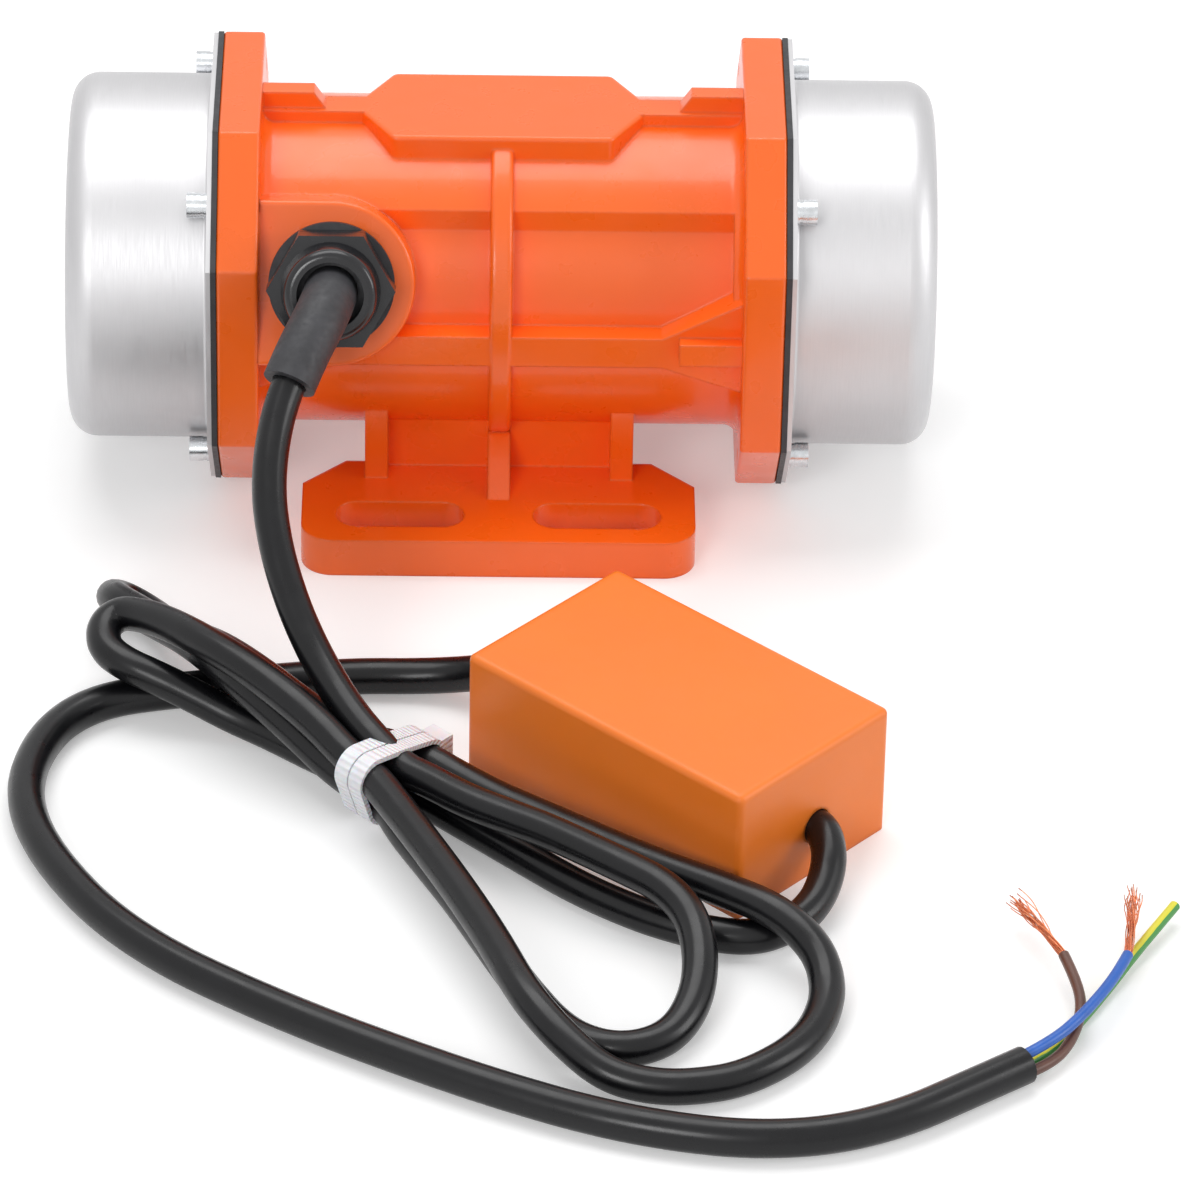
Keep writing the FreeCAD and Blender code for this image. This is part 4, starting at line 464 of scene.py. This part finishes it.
def spline_object(name, route, diameter=0.0):
    """A smooth curve with the route's points as its control points, round if it has a diameter."""
    curve = bpy.data.curves.new(name, "CURVE")
    curve.dimensions = "3D"
    curve.resolution_u = LEAD_STEPS
    curve.bevel_depth = diameter / 2 * MM
    curve.bevel_resolution = LEAD_ROUNDNESS
    curve.use_fill_caps = True
    spline = curve.splines.new("NURBS")
    spline.points.add(len(route) - 1)
    for point, place in zip(spline.points, route):
        point.co = (*millimetres(place), 1)
    spline.order_u = 3
    spline.use_endpoint_u = True
    piece = bpy.data.objects.new(name, curve)
    bpy.context.collection.objects.link(piece)
    return piece


def lead(name, route, diameter, finish, *nodes):
    """A lead that stands for CAD nodes and rides on the casing."""
    piece = spline_object(name, route, diameter)
    piece.data.materials.append(FINISHES[finish])
    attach(piece, "casing")
    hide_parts(*nodes)
    return piece


def centreline(route):
    """Points along the route's own spline, read from it."""
    guide = spline_object("guide", route)
    mesh = bpy.data.meshes.new_from_object(guide)
    points = [vertex.co.copy() for vertex in mesh.vertices]
    curve = guide.data
    bpy.data.objects.remove(guide)
    bpy.data.curves.remove(curve)
    bpy.data.meshes.remove(mesh)
    return points


def add_wire(bm, points):
    """Sweep a wire's section along points, and close its ends."""
    angles = [2 * pi * corner / WIRE_SIDES for corner in range(WIRE_SIDES)]
    rings = []
    for index, point in enumerate(points):
        ahead = points[min(index + 1, len(points) - 1)] - points[max(index - 1, 0)]
        across = ahead.cross(UPWARD).normalized()
        up = across.cross(ahead).normalized()
        corners = [point + WIRE_RADIUS * MM * (cos(angle) * across + sin(angle) * up) for angle in angles]
        rings.append([bm.verts.new(corner) for corner in corners])
    for ring, following in zip(rings, rings[1:]):
        for k in range(WIRE_SIDES):
            bm.faces.new((ring[k], ring[k - 1], following[k - 1], following[k]))
    bm.faces.new(rings[0])
    bm.faces.new(reversed(rings[-1]))


def frayed_wire(chance, wire, line, across, up):
    """The points of one wire: it starts in its place in the bundle, and its length, fan and wave vary."""
    distance = BUNDLE_RADIUS * (wire / WIRES) ** 0.5
    start = wire * GOLDEN_ANGLE
    reach = chance.uniform(SHORTEST_WIRE, 1.0)
    fan = chance.uniform(1.0, WIDEST_FAN)
    wave = chance.uniform(0, 2 * pi)
    steps = len(line) - 1
    points = []
    for index in range(len(line)):
        share = index / steps * reach
        turn = start + TWIST * share
        off = distance * (1 + (fan - 1) * share) + FRIZZ * share * sin(FRIZZ_ANGLE * share + wave)
        point = line[round(share * steps)] + off * MM * (cos(turn) * across + sin(turn) * up)
        if not points or (point - points[-1]).length > WIRE_STEP * MM:
            points.append(point)
    return points


def copper_strands(name, route, node, seed):
    """Bare wires that lie close at the core's end, twist a little and fan out to uneven ends."""
    chance = random.Random(seed)
    line = centreline(route)
    run = line[-1] - line[0]
    across = run.cross(UPWARD).normalized()
    up = across.cross(run).normalized()
    bm = bmesh.new()
    for wire in range(WIRES):
        add_wire(bm, frayed_wire(chance, wire, line, across, up))
    mesh = bpy.data.meshes.new(name)
    bm.to_mesh(mesh)
    bm.free()
    for face in mesh.polygons:
        face.use_smooth = True
    piece = bpy.data.objects.new(name, mesh)
    bpy.context.collection.objects.link(piece)
    mesh.materials.append(FINISHES["copper"])
    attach(piece, "casing")
    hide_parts(node)
    return piece


def add_leads():
    """All the leads and cores. The cores' lengths are listed beside their routes, and nothing reads them."""
    motor_lead = lead("tied_lead", MOTOR_LEAD, MOTOR_LEAD_DIAMETER, "black_jacket",
                      "motor_lead", "lead_hank", "lead_to_box")
    supply = lead("mains_lead", SUPPLY_LEAD, SUPPLY_LEAD_DIAMETER, "black_jacket", "supply_lead")
    ends = {
        "blue": copper_strands("blue_frayed_copper", BLUE_COPPER, "blue_copper_strands", seed=4),
        "brown": copper_strands("brown_frayed_copper", BROWN_COPPER, "brown_copper_strands", seed=9),
    }
    cores = (("blue", BLUE_CORE, 0.04), ("brown", BROWN_CORE, 0.041), ("earth", EARTH_CORE, 0.063))
    for colour, route, length in cores:
        core = lead(f"{colour}_insulation", route, CORE_DIAMETER, f"{colour}_core", f"{colour}_core")


# Camera, floor and light

FLOOR_SIZE = 6.0  # metres
FLOOR_WHITE = 0.82
FLOOR_GLOW = 0.3
SEEN_BACKGROUND = 1.0
LIT_BACKGROUND = 0.42
LAMPS = {  # place and aim in metres, width and height in metres, watts
    "overhead": ((-0.1, 0.3, 1.3), (0, -0.08, 0), 1.2, 0.8, 10.0),
    "front": ((-0.5, -1.35, 0.8), (0, -0.08, 0.04), 0.5, 0.5, 6.5),
    "right": ((1.25, -0.35, 0.6), (0, -0.08, 0.04), 0.45, 0.7, 4.5),
}


def add_camera():
    """The photograph's camera."""
    data = bpy.data.cameras.new("camera")
    data.lens = CAMERA_LENS
    data.sensor_width = SENSOR_WIDTH
    camera = bpy.data.objects.new("camera", data)
    bpy.context.collection.objects.link(camera)
    view = (Vector(CAMERA_AIM) - Vector(CAMERA_AT)).to_track_quat("-Z", "Y").to_matrix()
    camera.matrix_world = Matrix.LocRotScale(
        millimetres(CAMERA_AT), (view @ Matrix.Rotation(CAMERA_ROLL, 3, "Z")).to_quaternion(), None)
    bpy.context.scene.camera = camera


def seen_directly(nodes, links):
    """1 for rays that show the background: the camera's, a reflection's and one through glass."""
    path = nodes.new("ShaderNodeLightPath")
    total = path.outputs["Is Camera Ray"]
    for name in ("Is Glossy Ray", "Is Transmission Ray"):
        add = nodes.new("ShaderNodeMath")
        add.operation = "ADD"
        add.use_clamp = True
        links.new(total, add.inputs[0])
        links.new(path.outputs[name], add.inputs[1])
        total = add.outputs["Value"]
    return total


def add_floor():
    """A pale floor that keeps the object's shadow and is otherwise white."""
    bm = bmesh.new()
    corners = [(-1, -1), (1, -1), (1, 1), (-1, 1)]
    bm.faces.new([bm.verts.new((x * FLOOR_SIZE / 2, y * FLOOR_SIZE / 2, 0)) for x, y in corners])
    mesh = bpy.data.meshes.new("floor")
    bm.to_mesh(mesh)
    bm.free()
    floor = bpy.data.objects.new("floor", mesh)
    bpy.context.collection.objects.link(floor)
    material = bpy.data.materials.new("floor")
    material.use_nodes = True
    nodes, links = material.node_tree.nodes, material.node_tree.links
    shader = nodes["Principled BSDF"]
    shader.inputs["Base Color"].default_value = (FLOOR_WHITE, FLOOR_WHITE, FLOOR_WHITE, 1)
    shader.inputs["Roughness"].default_value = 0.9
    shader.inputs["Specular IOR Level"].default_value = 0.1
    shader.inputs["Emission Color"].default_value = (1, 1, 1, 1)
    strength = nodes.new("ShaderNodeMath")
    strength.operation = "MULTIPLY"
    strength.inputs[1].default_value = FLOOR_GLOW
    links.new(seen_directly(nodes, links), strength.inputs[0])
    links.new(strength.outputs["Value"], shader.inputs["Emission Strength"])
    mesh.materials.append(material)


def add_world():
    """White where it is seen, and a plain even light on the object."""
    world = bpy.data.worlds.new("world")
    bpy.context.scene.world = world
    world.use_nodes = True
    nodes, links = world.node_tree.nodes, world.node_tree.links
    background = nodes["Background"]
    background.inputs["Color"].default_value = (1, 1, 1, 1)
    spread = nodes.new("ShaderNodeMapRange")
    spread.inputs["To Min"].default_value = LIT_BACKGROUND
    spread.inputs["To Max"].default_value = SEEN_BACKGROUND
    links.new(seen_directly(nodes, links), spread.inputs["Value"])
    links.new(spread.outputs["Result"], background.inputs["Strength"])


def add_lamps():
    """Large soft lamps."""
    for name, (place, aim, width, height, watts) in LAMPS.items():
        data = bpy.data.lights.new(name, "AREA")
        data.shape = "RECTANGLE"
        data.size = width
        data.size_y = height
        data.energy = watts
        lamp = bpy.data.objects.new(name, data)
        bpy.context.collection.objects.link(lamp)
        lamp.location = place
        lamp.rotation_euler = (Vector(aim) - Vector(place)).to_track_quat("-Z", "Y").to_euler()


add_camera()
add_leads()
finish_cad_nodes()
add_floor()
add_world()
add_lamps()
bpy.context.scene.view_settings.view_transform = "Standard"
